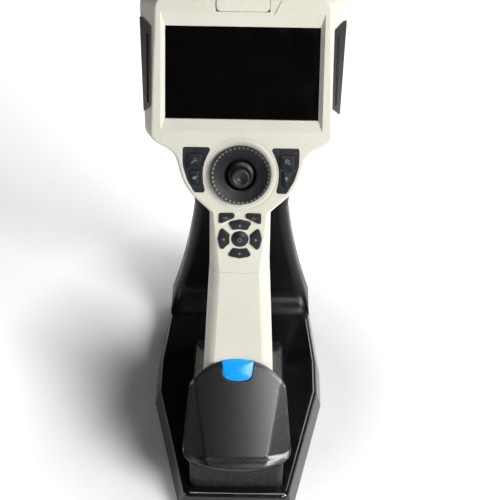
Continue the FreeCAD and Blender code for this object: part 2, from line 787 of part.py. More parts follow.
def key_plates():
    for label, corners in (("right_key_plate", plate_corners()),
                           ("left_key_plate", swap_sides(plate_corners()))):
        body = body_in("head", label)
        side = 1 if "right" in label else -1
        plate = outline(sketch(body, "XZ_Plane", -0.4), *rounded(corners, 1.8))
        pad(body, plate, 2.3, toward=1)
        dress(body, "Chamfer", 0.4, lambda at, edge: at.y < -0.39)
        for steps in (upper_key(), lower_key()):
            key_hole(body, steps if side > 0 else swap_sides(steps), 3)


def moving_key(label, frame, steps, proud, deep):
    """A key cap on a wider skirt that keeps it behind the shell."""
    body = body_in(frame, label)
    cap = outline(sketch(body, "XZ_Plane", -1 * proud), *rounded(steps, SIZES["key_corner"]))
    pad(body, cap, proud + deep, toward=1)
    skirt = outline(sketch(body, "XZ_Plane", deep), *grown(steps, D["key_skirt"]))
    pad(body, skirt, 1, toward=1)
    dress(body, "Fillet", 0.5, lambda at, edge: at.y < -value_of(proud) + 0.01)


def keys():
    wall = D["shell_wall"] + 1.2
    proud = D["key_proud"]
    left_names = {"key_tool": upper_key(), "key_hand": lower_key()}
    right_names = {"key_zoom": upper_key(), "key_light": lower_key()}
    for label, steps in left_names.items():
        moving_key(label, "head", swap_sides(steps), proud + 0.4, wall)
    for label, steps in right_names.items():
        moving_key(label, "head", steps, proud + 0.4, wall)
    for label, steps in handle_keys().items():
        moving_key(label, "handle", steps, proud, wall)
    body = body_in("handle", "key_centre")
    pad(body, circle(sketch(body, "XZ_Plane", -1 * proud), 0, 0, 6.75), proud + wall, toward=1)
    pad(body, circle(sketch(body, "XZ_Plane", wall), 0, 0, 7.3), 1, toward=1)
    dress(body, "Fillet", 0.6, lambda at, edge: at.y < -value_of(proud) + 0.01)


def keypad_board():
    body = body_in("handle", "keypad_board")
    pad(body, box_outline(sketch(body, "XZ_Plane", 7.6), -19, 19, -21, 26), 1.4, toward=1)


def key_domes():
    """Rubber return domes on the keypad board, one under each key of the handle."""
    body = body_in("handle", "key_domes")
    drawing = sketch(body, "XZ_Plane", 6.6)
    for x, z in ((0, 0), (0, 12.6), (0, -12.6), (12.4, 0), (-12.4, 0), (11, 18.4), (-11, 18.4)):
        circle(drawing, x, z, 2.2)
    pad(body, drawing, 1, toward=1)


def shell_screws():
    """Six screws that hold the back shell to the front one."""
    body = body_in("head", "shell_screws")
    drawing = sketch(body, "XZ_Plane", D["head_deep"])
    for x, z in ((-58, 122), (58, 122), (-58, 44), (58, 44)):
        circle(drawing, x, z, 2.6)
    pad(body, drawing, 0.8, toward=1)


def port_connectors():
    """Connector block under the flap at the top of the head."""
    body = body_in("head", "port_connectors")
    pad(body, box_outline(sketch(body, "XZ_Plane", 5), -17, 17, 125.2, 134), 14, toward=1)
    for x in (-9, 7):
        slot = box_outline(sketch(body, "XY_Plane", 134), x - 5, x + 7, 8, 14)
        pocket(body, slot, 6, toward=-1)


def port_flap():
    """L-shaped flap over the top edge, with a knuckle along its back."""
    body = body_in("head", "port_flap")
    top = D["head_top"] + 0.3
    thick = D["flap_thick"]
    side = sketch(body, "YZ_Plane", -D["flap_half"])
    outline(side, (-0.3, D["flap_low"]), (thick, D["flap_low"]), (thick, top - thick),
            (D["flap_deep"], top - thick), (D["flap_deep"], top), (-0.3, top))
    pad(body, side, D["flap_half"] * 2)
    dress(body, "Fillet", 3.5, lambda at, edge: runs_along(edge, Y) and edge.Length < 4)
    dress(body, "Fillet", 1.2, lambda at, edge: at.y < -0.29 and runs_along(edge, X)
          and at.z > value_of(top) - 0.01)


# ---- joystick --------------------------------------------------------------------------------

def lock_dial():
    """Dished dial with a knurled rim; turning it presses the brake ring on the stick."""
    body = body_in("head", "lock_dial")
    radius = D["dial_radius"]
    proud = -1 * D["dial_proud"]
    hub = D["dial_hub"]
    bore = D["dial_bore"]
    outline(sketch_of_spin := sketch(body, "XY_Plane", 0),
            (bore, -2.4), Through((bore + radius) / 2, -2.9), (radius - 2.2, proud), (radius - 0.8, proud),
            (radius, proud + 0.9), (radius, 0.6), (hub, 0.6), (hub, 5), (hub - 2.8, 5),
            (hub - 2.8, 1.2), (bore + 3, -0.8), (bore, -1))
    spin(body, sketch_of_spin)
    notch = sketch(body, "XZ_Plane", proud)
    circle(notch, 0, radius + 0.5, 0.95)
    cut = pocket(body, notch, 4.6)
    repeat(body, [cut], "PolarPattern", {"Axis": (origin_item(body, "Y_Axis"), [""]), "Angle": 360,
                                         "Occurrences": 40})


def ring_body(label, inner, outer, low, high):
    body = body_in("head", label)
    spin(body, box_outline(sketch(body, "XY_Plane", 0), inner, outer, low, high))
    return body


def brake_ring():
    ring_body("brake_ring", D["dial_hub"] - 2.6, D["dial_hub"] - 0.2, 6.4, 8.4)


def gimbal_ring():
    """Inner ring of the gimbal, with trunnions along X."""
    pivot = D["stick_pivot"]
    body = ring_body("gimbal_ring", 8, 11, pivot - 2, pivot + 2)
    for side in (-1, 1):
        pin = circle(sketch(body, "YZ_Plane", side * 10.5), pivot, 0, 1.5)
        pad(body, pin, 4, toward=side)


def joystick_bracket():
    """Back plate behind the stick, with two lugs that carry the gimbal's trunnions."""
    body = body_in("head", "joystick_bracket")
    pivot = D["stick_pivot"]
    plate = sketch(body, "XZ_Plane", pivot + 6)
    box_outline(plate, -22, 22, -13, 13)
    circle(plate, 0, 0, 7.5)
    pad(body, plate, 1.6, toward=1)
    for side in (-1, 1):
        near = 11.8 if side > 0 else -14.8
        lug = box_outline(sketch(body, "XZ_Plane", pivot - 2.2), near, near + 3, -4, 4)
        pad(body, lug, 8.4, toward=1)
        hole = circle(sketch(body, "YZ_Plane", side * 11), pivot, 0, 1.55)
        pocket(body, hole, 3.9, toward=side)


def joystick_stem():
    """Stick with its collar and dome skirt, centred on the pivot, and its cross pin and tail."""
    body = body_in("head", "joystick_stem")
    pivot = D["stick_pivot"]
    dome = D["dome_radius"]
    skirt = math.radians(62)
    neck = math.radians(23)
    inner = dome - 1.6
    half = (skirt + neck) / 2
    outline(profile := sketch(body, "XY_Plane", 0),
            (0, -10.2), (3.4, -10.2), (3.4, -7), (8.5, -7), (9, -6.5), (9, -6), (6.8, -5.2),
            (dome * math.sin(neck), pivot - dome * math.cos(neck)),
            Through(dome * math.sin(half), pivot - dome * math.cos(half)),
            (dome * math.sin(skirt), pivot - dome * math.cos(skirt)),
            (inner * math.sin(skirt), pivot - inner * math.cos(skirt)),
            Through(inner * math.sin(half), pivot - inner * math.cos(half)),
            (3, pivot - inner + 0.3), (3, pivot + 3), (2, pivot + 4), (2, pivot + 16), (0, pivot + 16))
    spin(body, profile)
    pin = circle(sketch(body, "XY_Plane", -7.8), 0, pivot, 1.2)
    pad(body, pin, 15.6)


def thumb_cap():
    body = body_in("head", "thumb_cap")
    proud = -1 * D["cap_proud"]
    radius = D["cap_radius"]
    outline(profile := sketch(body, "XY_Plane", 0),
            (0, proud + 1.3), (1.5, proud + 1.3), (1.6, proud + 0.7), Through(4, proud + 0.45),
            (radius - 1, proud), Through(radius - 0.3, proud + 0.35), (radius, proud + 1.2),
            (radius, proud + 2.6), (radius - 1.2, proud + 3.8), (0, proud + 3.8))
    spin(body, profile)


def swash_plate():
    """Plate on the stick's tail that pulls the four bending wires."""
    body = body_in("head", "swash_plate")
    pivot = D["stick_pivot"]
    spin(body, box_outline(sketch(body, "XY_Plane", 0), 2, 11, pivot + 13, pivot + 15))
    holes = sketch(body, "XZ_Plane", pivot + 12)
    for x, z in ((8.5, 0), (-8.5, 0), (0, 8.5), (0, -8.5)):
        circle(holes, x, z, 0.8)
    pocket(body, holes, 4)


# ---- handle ----------------------------------------------------------------------------------

def grip_sleeve():
    """One-piece tube of the handle, flaring toward its foot."""
    body = body_in("handle", "grip_sleeve")
    deep = D["handle_deep"]

    def ring(at, half, wall):
        right = front_corner(half, D["panel_reach"], D["handle_corner"], wall)
        return outline(sketch(body, "XY_Plane", at), *both_sides(*right, *back_corner(half, deep, wall)))

    top = D["grip_top"] + 1
    low = D["grip_low"]
    loft(body, "Additive", ring(low, D["grip_low_half"], 0), ring(top, D["handle_half"] + 0.2, 0))
    loft(body, "Subtractive", ring(low, D["grip_low_half"], 3), ring(top, D["handle_half"] + 0.2, 3))
    seam = sketch(body, "XZ_Plane", -1)
    outline(seam, (-30, D["grip_top"]), Through(0, D["grip_dip"]), (30, D["grip_top"]), (30, -10),
            (-30, -10))
    pocket(body, seam, deep + 2)
    # shallow hollow in the front that the release button is pressed into
    hollow = outline(sketch(body, "XZ_Plane", -1), (-14, -118), (14, -118), (14, -110.7),
                     Through(0, -108.9), (-14, -110.7))
    pocket(body, hollow, 2.6)


def foot_deck():
    """Flared foot of the handle: battery rails below, catch for the latch in front."""
    body = body_in("handle", "foot_deck")
    half = D["deck_half"]
    low = D["deck_low"]
    top = D["grip_low"] - 0.1
    side = sketch(body, "YZ_Plane", -half)
    outline(side, (0, low), (92, low), (92, low + 5), Through(62, low + 13), (D["handle_deep"] + 2, top),
            (0, top))
    pad(body, side, half * 2)
    for sign in (-1, 1):
        flank = sketch(body, "XZ_Plane", -1)
        outline(flank, (sign * D["grip_low_half"], top + 1), Through(sign * 31.8, -134),
                (sign * half, low + 7), (sign * 50, low + 7), (sign * 50, top + 1))
        pocket(body, flank, 100)
    dress(body, "Fillet", 4, lambda at, edge: at.y > 43 and abs(at.x) > 20 and at.z > value_of(low) + 6
          and edge.Length > 15 and not runs_along(edge, X))
    well = box_outline(sketch(body, "XY_Plane", low), -20, 20, 8, 47)
    pocket(body, well, 22)
    notch = box_outline(sketch(body, "XZ_Plane", -1), -7, 7, -137, -128)
    pocket(body, notch, 5)
    for near in (-32, 26):
        web = box_outline(sketch(body, "XY_Plane", low), near + (3 if near < 0 else 0),
                          near + (6 if near < 0 else 3), 14, 90)
        pad(body, web, 6, toward=-1)
        flange = box_outline(sketch(body, "XY_Plane", low - 3.4), near, near + 6, 14, 90)
        pad(body, flange, 2.6, toward=-1)


def handset_contacts():
    body = body_in("handle", "handset_contacts")
    low = D["deck_low"]
    pad(body, box_outline(sketch(body, "XY_Plane", low + 4), -12, 12, 22, 46), 17.5)
    pins = sketch(body, "XY_Plane", low + 0.4)
    for x in (-7.5, -2.5, 2.5, 7.5):
        circle(pins, x, 34, 1)
    pad(body, pins, 3.7)


# ---- battery ---------------------------------------------------------------------------------

def deck_line(y):
    """Height of the battery's top plane, which runs down to the back square to the handle."""
    lean = math.radians(SIZES["handle_lean"])
    low = D["deck_low"] - 0.4
    start_y = D["handle_y"] + low * math.sin(lean)
    start_z = D["handle_z"] + low * math.cos(lean)
    return start_z - (y - start_y) * math.tan(lean)


def battery_tray():
    """Case of the battery: flat box below, top plane sloping down to the back, slots for the rails."""
    body = body_in("world", "tray_block", node=False)
    half = D["battery_half"]
    front = D["battery_front"]
    back = D["battery_back"]
    low = D["battery_low"]
    split = D["battery_split"] - 0.1
    step = -82.4
    side = sketch(body, "YZ_Plane", -half)
    outline(side, (front, low), (back, low), (back, deck_line(back)), (step, deck_line(step)),
            (step, split), (front, split))
    pad(body, side, half * 2)
    dress(body, "Fillet", 6, lambda at, edge: runs_along(edge, Z) and edge.Length > 15)
    hollow = sketch(body, "YZ_Plane", -half + 3.5)
    outline(hollow, (front + 3.5, low + 3), (back - 3.5, low + 3), (back - 3.5, deck_line(back) - 13),
            (step + 3, split - 4), (front + 3.5, split - 4))
    pocket(body, hollow, (half - 3.5) * 2)
    slots = body_in("handle", "rail_slots", node=False)
    plane = D["deck_low"] - 0.4
    for near in (-32, 26):
        web = box_outline(sketch(slots, "XY_Plane", plane + 2), near + (2.5 if near < 0 else -0.5),
                          near + (6.5 if near < 0 else 3.5), 13.5, 110)
        pad(slots, web, 8.6, toward=-1)
        flange = box_outline(sketch(slots, "XY_Plane", plane - 2.5), near - 0.5, near + 6.5, 13.5, 110)
        pad(slots, flange, 4.1, toward=-1)
    seat = box_outline(sketch(slots, "XY_Plane", plane + 2), -11, 11, 23, 45)
    pad(slots, seat, 5, toward=-1)
    screw_seats = body_in("world", "screw_seats", node=False)
    pad(screw_seats, screw_spots(screw_seats, low - 1, 2.6), 2.2)
    tools = boolean("MultiFuse", "tray_tools", slots, [screw_seats], False)
    boolean("Cut", "battery_tray", body, tools)


def screw_spots(body, at, radius):
    drawing = sketch(body, "XY_Plane", at)
    for y in (D["battery_front"] + 10, D["battery_back"] - 10):
        for x in (-31, 31):
            circle(drawing, x, y, radius)
    return drawing


def battery_screws():
    body = body_in("world", "battery_screws")
    pad(body, screw_spots(body, D["battery_low"] + 0.2, 2.4), 1)


def battery_cells():
    """Six round cells lying across the case."""
    body = body_in("world", "battery_cells")
    drawing = sketch(body, "YZ_Plane", D["cell_long"] / -2)
    for place_along in cell_places():
        circle(drawing, place_along, D["battery_low"] + 3 + 9.4, D["cell_radius"])
    pad(body, drawing, D["cell_long"])


def cell_places():
    return [D["battery_front"] + 14 + 19 * count for count in range(6)]


def cell_links():
    """Nickel strips that join the cells in pairs at their ends."""
    body = body_in("world", "cell_links")
    places = cell_places()
    middle_z = D["battery_low"] + 3 + 9.4
    for side in (-1, 1):
        drawing = sketch(body, "YZ_Plane", side * 32.5)
        for first in (0, 2, 4):
            box_outline(drawing, places[first] - 4, places[first + 1] + 4, middle_z - 4, middle_z + 4)
        pad(body, drawing, 0.4, toward=side)


def battery_board():
    body = body_in("world", "battery_board")
    pad(body, box_outline(sketch(body, "XY_Plane", 39.4), -28, 28, -119, -87), 1.4)


def battery_terminals():
    """Terminal block let into the battery's top plane, with four contact blades."""
    body = body_in("handle", "battery_terminals")
    plane = D["deck_low"] - 0.4
    pad(body, box_outline(sketch(body, "XY_Plane", plane - 2.9), -10.8, 10.8, 23.2, 44.8), 2.3)
    blades = sketch(body, "XY_Plane", plane - 0.6)
    for x in (-7.5, -2.5, 2.5, 7.5):
        box_outline(blades, x - 0.9, x + 0.9, 26, 42)
    pad(body, blades, 0.4)


def shield_outline(inset=0):
    """The battery cover seen square to its sloping face, drawn in by an inset."""
    right = [
        (24 - inset, -6.2 - inset), Through(33 - inset, -13.7 - inset), (39.8 - inset, -22.2 - inset),
        (44.9 - inset, -74.8), Through(43.6 - inset, -81.2 + inset), (37 - inset, -86.9 + inset),
    ]
    steps = both_sides(*right)
    half = len(right)
    return steps[:half] + [Through(0, -92.3 + inset)] + steps[half:] + [Through(0, -inset)]


def button_corners(gap=0):
    return [
        (13 + gap, -1.7), (12.3 + gap, -9), (11.4 + gap, -13.6), (8.4 + gap, -16.9 - gap),
        Through(0, -18.1 - gap), (-8.4 - gap, -16.9 - gap), (-11.4 - gap, -13.6), (-12.3 - gap, -9),
        (-13 - gap, -1.7),
    ]


def battery_cover():
    """Sloping shield in front of the handle's foot: raised middle, slanted flanks, open behind."""
    body = body_in("shield", "cover_block", node=False)
    pad(body, outline(sketch(body, "XZ_Plane", 0), *shield_outline()), 70, toward=1)
    slope = math.tan(math.radians(19))
    sections = []
    for height, start in ((-10, 37), (-100, 22.8)):
        corners = [(start, -0.01), (60, -0.01), (60, (60 - start) * slope)]
        sections.append(outline(sketch(body, "XY_Plane", height), *corners))
    flank = loft(body, "Subtractive", *sections)
    mirror_sides(body, [flank])
    hollow = outline(sketch(body, "XZ_Plane", 8), *shield_outline(7))
    pocket(body, hollow, 80)
    middle_hollow = box_outline(sketch(body, "XZ_Plane", D["shield_wall"]), -20, 20, -78, -8)
    pocket(body, middle_hollow, 30)
    hole = sketch(body, "XZ_Plane", -1)
    outline(hole, *([(13.8, 3)] + button_corners(0.8) + [(-13.8, 3)]))
    pocket(body, hole, 20)
    behind = body_in("world", "behind_cover", node=False)
    split = D["battery_split"]
    side = sketch(behind, "YZ_Plane", -60)
    back = D["cover_back"]
    outline(side, (-200, -20), (-200, split), (back, split), (back, 78.9), (-60.1, 160), (100, 160),
            (100, -20))
    pad(behind, side, 120)
    boolean("Cut", "battery_cover", body, behind)


def release_button():
    body = body_in("shield", "release_button")
    face = outline(sketch(body, "XZ_Plane", -0.8), *(button_corners() + [Through(0, -0.1)]))
    pad(body, face, 1.6, toward=1)
    boss = box_outline(sketch(body, "XZ_Plane", 0.8), -6, 6, -17, -9)
    pad(body, boss, 1.6, toward=1)
    dress(body, "Chamfer", 0.5, lambda at, edge: at.y < -0.79)


def latch_hook():
    """Bar behind the button; its nose faces the catch in the handle's foot."""
    body = body_in("handle", "latch_hook")
    pad(body, box_outline(sketch(body, "XZ_Plane", -3.4), -6, 6, -146, -127.5), 2, toward=1)
    pad(body, box_outline(sketch(body, "XZ_Plane", -1.4), -5, 5, -134, -130), 0.9, toward=1)


def latch_spring():
    body = body_in("handle", "latch_spring")
    pad(body, circle(sketch(body, "XZ_Plane", -9.2), 0, -140, 2.5), 5.7, toward=1)


# ---- build, check and write ------------------------------------------------------------------

def build():
    for make in (
            stand_base, stand_column, column_back_cover, head_rest_pad, stand_bottom_cover,
            stand_ballast, stand_foot_pads, stand_screws, head_shells, probe_socket, display_window,
            window_gasket, display_panel, display_bracket, main_board, key_plates, keys, keypad_board,
            key_domes, shell_screws, port_connectors, port_flap, lock_dial, brake_ring, gimbal_ring,
            joystick_bracket, joystick_stem, thumb_cap, swash_plate, grip_sleeve, foot_deck,
            handset_contacts, battery_tray, battery_screws, battery_cells, cell_links, battery_board,
            battery_terminals, battery_cover, release_button, latch_hook, latch_spring):
        make()
    DOC.recompute()


def check():
    """Stop if any object failed, any cut removed nothing, or any node is not a valid solid."""
    for item in DOC.Objects:
        if "Invalid" in item.State or "Error" in item.State:
            raise ValueError(f"{item.Label} failed: {item.State}")
    for before, after in CUTS:
        if after.Shape.Volume > before.Shape.Volume - 1e-4:
            raise ValueError(f"{after.Name} removes nothing")
    for node in NODES:
        if node.Shape.isNull() or not node.Shape.isValid() or not node.Shape.Solids:
            raise ValueError(f"{node.Label} is not a valid solid")


def write():
    os.makedirs("parts", exist_ok=True)
    for node in NODES:
        node.Shape.exportStep(f"parts/{node.Label}.step")


build()
check()
write()
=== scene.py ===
import json
import math

import bmesh
import bpy
from mathutils import Matrix, Vector


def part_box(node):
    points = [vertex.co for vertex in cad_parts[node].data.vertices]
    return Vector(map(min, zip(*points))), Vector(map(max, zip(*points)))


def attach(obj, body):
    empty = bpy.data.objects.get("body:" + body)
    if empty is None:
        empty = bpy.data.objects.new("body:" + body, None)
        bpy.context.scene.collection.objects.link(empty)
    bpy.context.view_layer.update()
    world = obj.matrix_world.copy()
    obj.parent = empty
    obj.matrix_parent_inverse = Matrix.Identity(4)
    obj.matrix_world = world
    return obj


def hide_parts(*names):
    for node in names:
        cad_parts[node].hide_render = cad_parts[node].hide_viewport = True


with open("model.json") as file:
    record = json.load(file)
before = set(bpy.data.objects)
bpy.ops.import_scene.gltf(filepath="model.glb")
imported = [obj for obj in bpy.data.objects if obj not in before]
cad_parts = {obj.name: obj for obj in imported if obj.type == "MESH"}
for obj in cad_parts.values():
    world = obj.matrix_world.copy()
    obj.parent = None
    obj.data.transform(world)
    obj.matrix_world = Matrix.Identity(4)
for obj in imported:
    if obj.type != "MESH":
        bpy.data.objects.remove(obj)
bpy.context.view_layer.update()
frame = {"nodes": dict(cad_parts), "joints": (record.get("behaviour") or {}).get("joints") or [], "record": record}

# A handheld videoscope on its desk stand.  Lengths in the helpers below are millimetres in the
# axes of one face of the object: x across, deep into the face, up along it.

MM = 0.001
JOINTS = {joint["name"]: joint for joint in frame["joints"]}


class Face:
    """Axes of one face of the object, from a point on it and the direction into it."""

    def __init__(self, origin, into):
        self.origin = Vector(origin)
        self.into = Vector(into).normalized()
        self.across = Vector((1, 0, 0))
        self.up = self.across.cross(self.into)

    def at(self, x, deep, up):
        return self.origin + MM * (self.across * x + self.into * deep + self.up * up)

    def read(self, point):
        offset = (point - self.origin) / MM
        return offset.dot(self.across), offset.dot(self.into), offset.dot(self.up)


PAD_MIDDLE = (0, -0.0416, 0.2226)
COVER_TOP = (0, -0.0717, 0.1179)
HEAD = Face(JOINTS["dial_turn"]["pos_m"], -Vector(JOINTS["dial_turn"]["axis"]))
HANDLE = Face(PAD_MIDDLE, JOINTS["key_centre_press"]["axis"])
SHIELD = Face(COVER_TOP, JOINTS["release_press"]["axis"])


# ---- outlines -------------------------------------------------------------------------------

def arc(start, through, end, count):
    """Points of the circle arc that passes through three points, both ends included."""
    (ax, ay), (bx, by), (cx, cy) = start, through, end
    scale = 2 * (ax * (by - cy) + bx * (cy - ay) + cx * (ay - by))
    ux = ((ax**2 + ay**2) * (by - cy) + (bx**2 + by**2) * (cy - ay) + (cx**2 + cy**2) * (ay - by)) / scale
    uy = ((ax**2 + ay**2) * (cx - bx) + (bx**2 + by**2) * (ax - cx) + (cx**2 + cy**2) * (bx - ax)) / scale
    radius = math.hypot(ax - ux, ay - uy)
    first = math.atan2(ay - uy, ax - ux)
    passing = (math.atan2(by - uy, bx - ux) - first) % math.tau
    turn = (math.atan2(cy - uy, cx - ux) - first) % math.tau
    if passing > turn:
        turn -= math.tau
    angles = [first + turn * step / count for step in range(count + 1)]
    return [(ux + radius * math.cos(angle), uy + radius * math.sin(angle)) for angle in angles]


def circle(x, y, radius, count=48, start=0.0, turn=math.tau):
    """Points round a circle; a part turn includes its far end."""
    last = count if turn < math.tau else count - 1
    angles = [start + turn * step / count for step in range(last + 1)]
    return [(x + radius * math.cos(angle), y + radius * math.sin(angle)) for angle in angles]


def rounded(corners, radius, count=5):
    """The corners with each one turned into an arc."""
    points = [Vector(corner) for corner in corners]
    result = []
    for index, corner in enumerate(points):
        before = points[index - 1] - corner
        after = points[(index + 1) % len(points)] - corner
        half_turn = before.angle(after) / 2
        reach = min(radius / math.tan(half_turn), 0.45 * before.length, 0.45 * after.length)
        first = corner + before.normalized() * reach
        last = corner + after.normalized() * reach
        inward = (before.normalized() + after.normalized()).normalized()
        bow = reach * math.tan(half_turn) * (1 / math.sin(half_turn) - 1)
        result += arc(tuple(first), tuple(corner + inward * bow), tuple(last), count)
    return result


def dense(outline, step):
    """The closed outline with its long edges divided."""
    result = []
    for index, (x, y) in enumerate(outline):
        far_x, far_y = outline[(index + 1) % len(outline)]
        parts = max(1, round(math.hypot(far_x - x, far_y - y) / step))
        result += [(x + (far_x - x) * k / parts, y + (far_y - y) * k / parts) for k in range(parts)]
    return result


def signed_area(outline):
    return sum(a[0] * b[1] - b[0] * a[1] for a, b in zip(outline, outline[1:] + outline[:1])) / 2


def inset(outline, distance):
    """A counter-clockwise outline moved inward."""
    result = []
    count = len(outline)
    for index, (x, y) in enumerate(outline):
        before = outline[index - 1]
        after = outline[(index + 1) % count]
        one = Vector((y - before[1], before[0] - x)).normalized()
        two = Vector((after[1] - y, x - after[0])).normalized()
        outward = (one + two).normalized()
        reach = distance / max(0.5, outward.dot(one))
        result.append((x - outward.x * reach, y - outward.y * reach))
    return result


def along(points, share):
    """The point at a share of the length of an open line of points."""
    lengths = [math.dist(a, b) for a, b in zip(points, points[1:])]
    left = share * sum(lengths)
    for (a, b), length in zip(zip(points, points[1:]), lengths):
        if left <= length or b == points[-1]:
            t = left / length
            return (a[0] + (b[0] - a[0]) * t, a[1] + (b[1] - a[1]) * t)
        left -= length


def level(points, height):
    """First value of an open line of (value, height) points at a height."""
    for (a, low), (b, high) in zip(points, points[1:]):
        if low <= height <= high:
            return a + (b - a) * (height - low) / max(high - low, 1e-9)
    return points[-1][0]


# ---- meshes ---------------------------------------------------------------------------------

def add_ring(mesh, points):
    return [mesh.verts.new(point) for point in points]


def join_rings(mesh, first, second, material=0):
    count = len(first)
    for index in range(count):
        following = (index + 1) % count
        corners = (first[index], first[following], second[following], second[index])
        mesh.faces.new(corners).material_index = material


def close_to_point(mesh, ring, point):
    centre = mesh.verts.new(point)
    for index, corner in enumerate(ring):
        mesh.faces.new((corner, ring[(index + 1) % len(ring)], centre))


def piece(name, mesh, body, materials, stands_for=(), sharp=32):
    """Turn a bmesh into a piece that rides on a body of the frame."""
    bmesh.ops.recalc_face_normals(mesh, faces=mesh.faces)
    data = bpy.data.meshes.new(name)
    mesh.to_mesh(data)
    mesh.free()
    for material in materials:
        data.materials.append(material)
    item = bpy.data.objects.new(name, data)
    bpy.context.scene.collection.objects.link(item)
    smooth(data, sharp)
    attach(item, body)
    if stands_for:
        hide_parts(*stands_for)
    return item


def smooth(data, sharp):
    data.polygons.foreach_set("use_smooth", [True] * len(data.polygons))
    data.set_sharp_from_angle(angle=math.radians(sharp))


def add_bevel(item, width):
    """Round the sharp edges of a piece over by a width."""
    bevel = item.modifiers.new("bevel", "BEVEL")
    bevel.width = width * MM
    bevel.segments = 3
    bevel.limit_method = "ANGLE"
    bevel.angle_limit = math.radians(32)
    bevel.harden_normals = True


def lathe(face, profile, count=96):
    """A turned form: (radius, deep) points turned about the direction into the face."""
    mesh = bmesh.new()
    previous = None
    for radius, deep in profile:
        if radius == 0:
            close_to_point(mesh, previous, face.at(0, deep, 0))
            previous = None
            continue
        ring = add_ring(mesh, [face.at(px, deep, py) for px, py in circle(0, 0, radius, count)])
        if previous:
            join_rings(mesh, previous, ring)
        previous = ring
    return mesh


def rounded_over(edge, steps=4):
    """Inset and depth of the rings that turn a side wall into a front face."""
    for step in range(steps + 1):
        angle = math.pi / 2 * step / steps
        yield edge * (1 - math.cos(angle)), edge * (1 - math.sin(angle))


def pillow(face, outline, top, base, edge, dome, rings=6):
    """A cap on an outline: straight sides, rounded front edge and a gently domed front."""
    if signed_area(outline) < 0:
        outline = outline[::-1]
    mesh = bmesh.new()
    previous = add_ring(mesh, [face.at(x, base, y) for x, y in outline])
    mesh.faces.new(previous[::-1])
    rim = outline
    for inward, deep in rounded_over(edge):
        rim = inset(outline, inward)
        ring = add_ring(mesh, [face.at(x, top + deep, y) for x, y in rim])
        join_rings(mesh, previous, ring)
        previous = ring
    centre_x = sum(x for x, _ in rim) / len(rim)
    centre_y = sum(y for _, y in rim) / len(rim)
    for step in range(1, rings):
        share = 1 - step / rings
        rise = dome * (1 - share**2)
        ring = add_ring(mesh, [face.at(centre_x + (x - centre_x) * share, top - rise,
                                       centre_y + (y - centre_y) * share) for x, y in rim])
        join_rings(mesh, previous, ring)
        previous = ring
    close_to_point(mesh, previous, face.at(centre_x, top - dome, centre_y))
    return mesh


def ribbon(points, width, closed=False):
    """Left and right edges of a flat stroke along a line of points, as quads of 2-D corners."""
    count = len(points)
    edges = []
    for index, point in enumerate(points):
        here = Vector(point)
        before = Vector(points[index - 1]) if closed or index else here
        after = Vector(points[(index + 1) % count]) if closed or index < count - 1 else here
        run = (after - before).normalized()
        across = Vector((-run.y, run.x))
        turn = 1.0
        if before != here and after != here:
            turn = max(0.4, (here - before).normalized().dot(run))
        edges.append((here + across * width / 2 / turn, here - across * width / 2 / turn))
    last = count if closed else count - 1
    return [[edges[i][0], edges[i][1], edges[(i + 1) % count][1], edges[(i + 1) % count][0]]
            for i in range(last)]


def raised_marks(name, face, shapes, x, up, top, thick, body, material, scale=1.0):
    """Thin raised marks: each shape is a list of polygons around the mark's own middle."""
    mesh = bmesh.new()
    for layer, polygons in enumerate(shapes):
        front = top - 0.012 * layer
        for polygon in polygons:
            placed = [(x + px * scale, up + py * scale) for px, py in polygon]
            near = add_ring(mesh, [face.at(px, front, py) for px, py in placed])
            far = add_ring(mesh, [face.at(px, top + thick, py) for px, py in placed])
            mesh.faces.new(near)
            mesh.faces.new(far[::-1])
            join_rings(mesh, near, far)
    bmesh.ops.remove_doubles(mesh, verts=mesh.verts, dist=1e-6)
    inner = [f for f in mesh.faces if all(len(e.link_faces) > 2 for e in f.edges)]
    bmesh.ops.delete(mesh, geom=inner, context="FACES_ONLY")
    return piece(name, mesh, body, [material], sharp=40)


# ---- materials ------------------------------------------------------------------------------

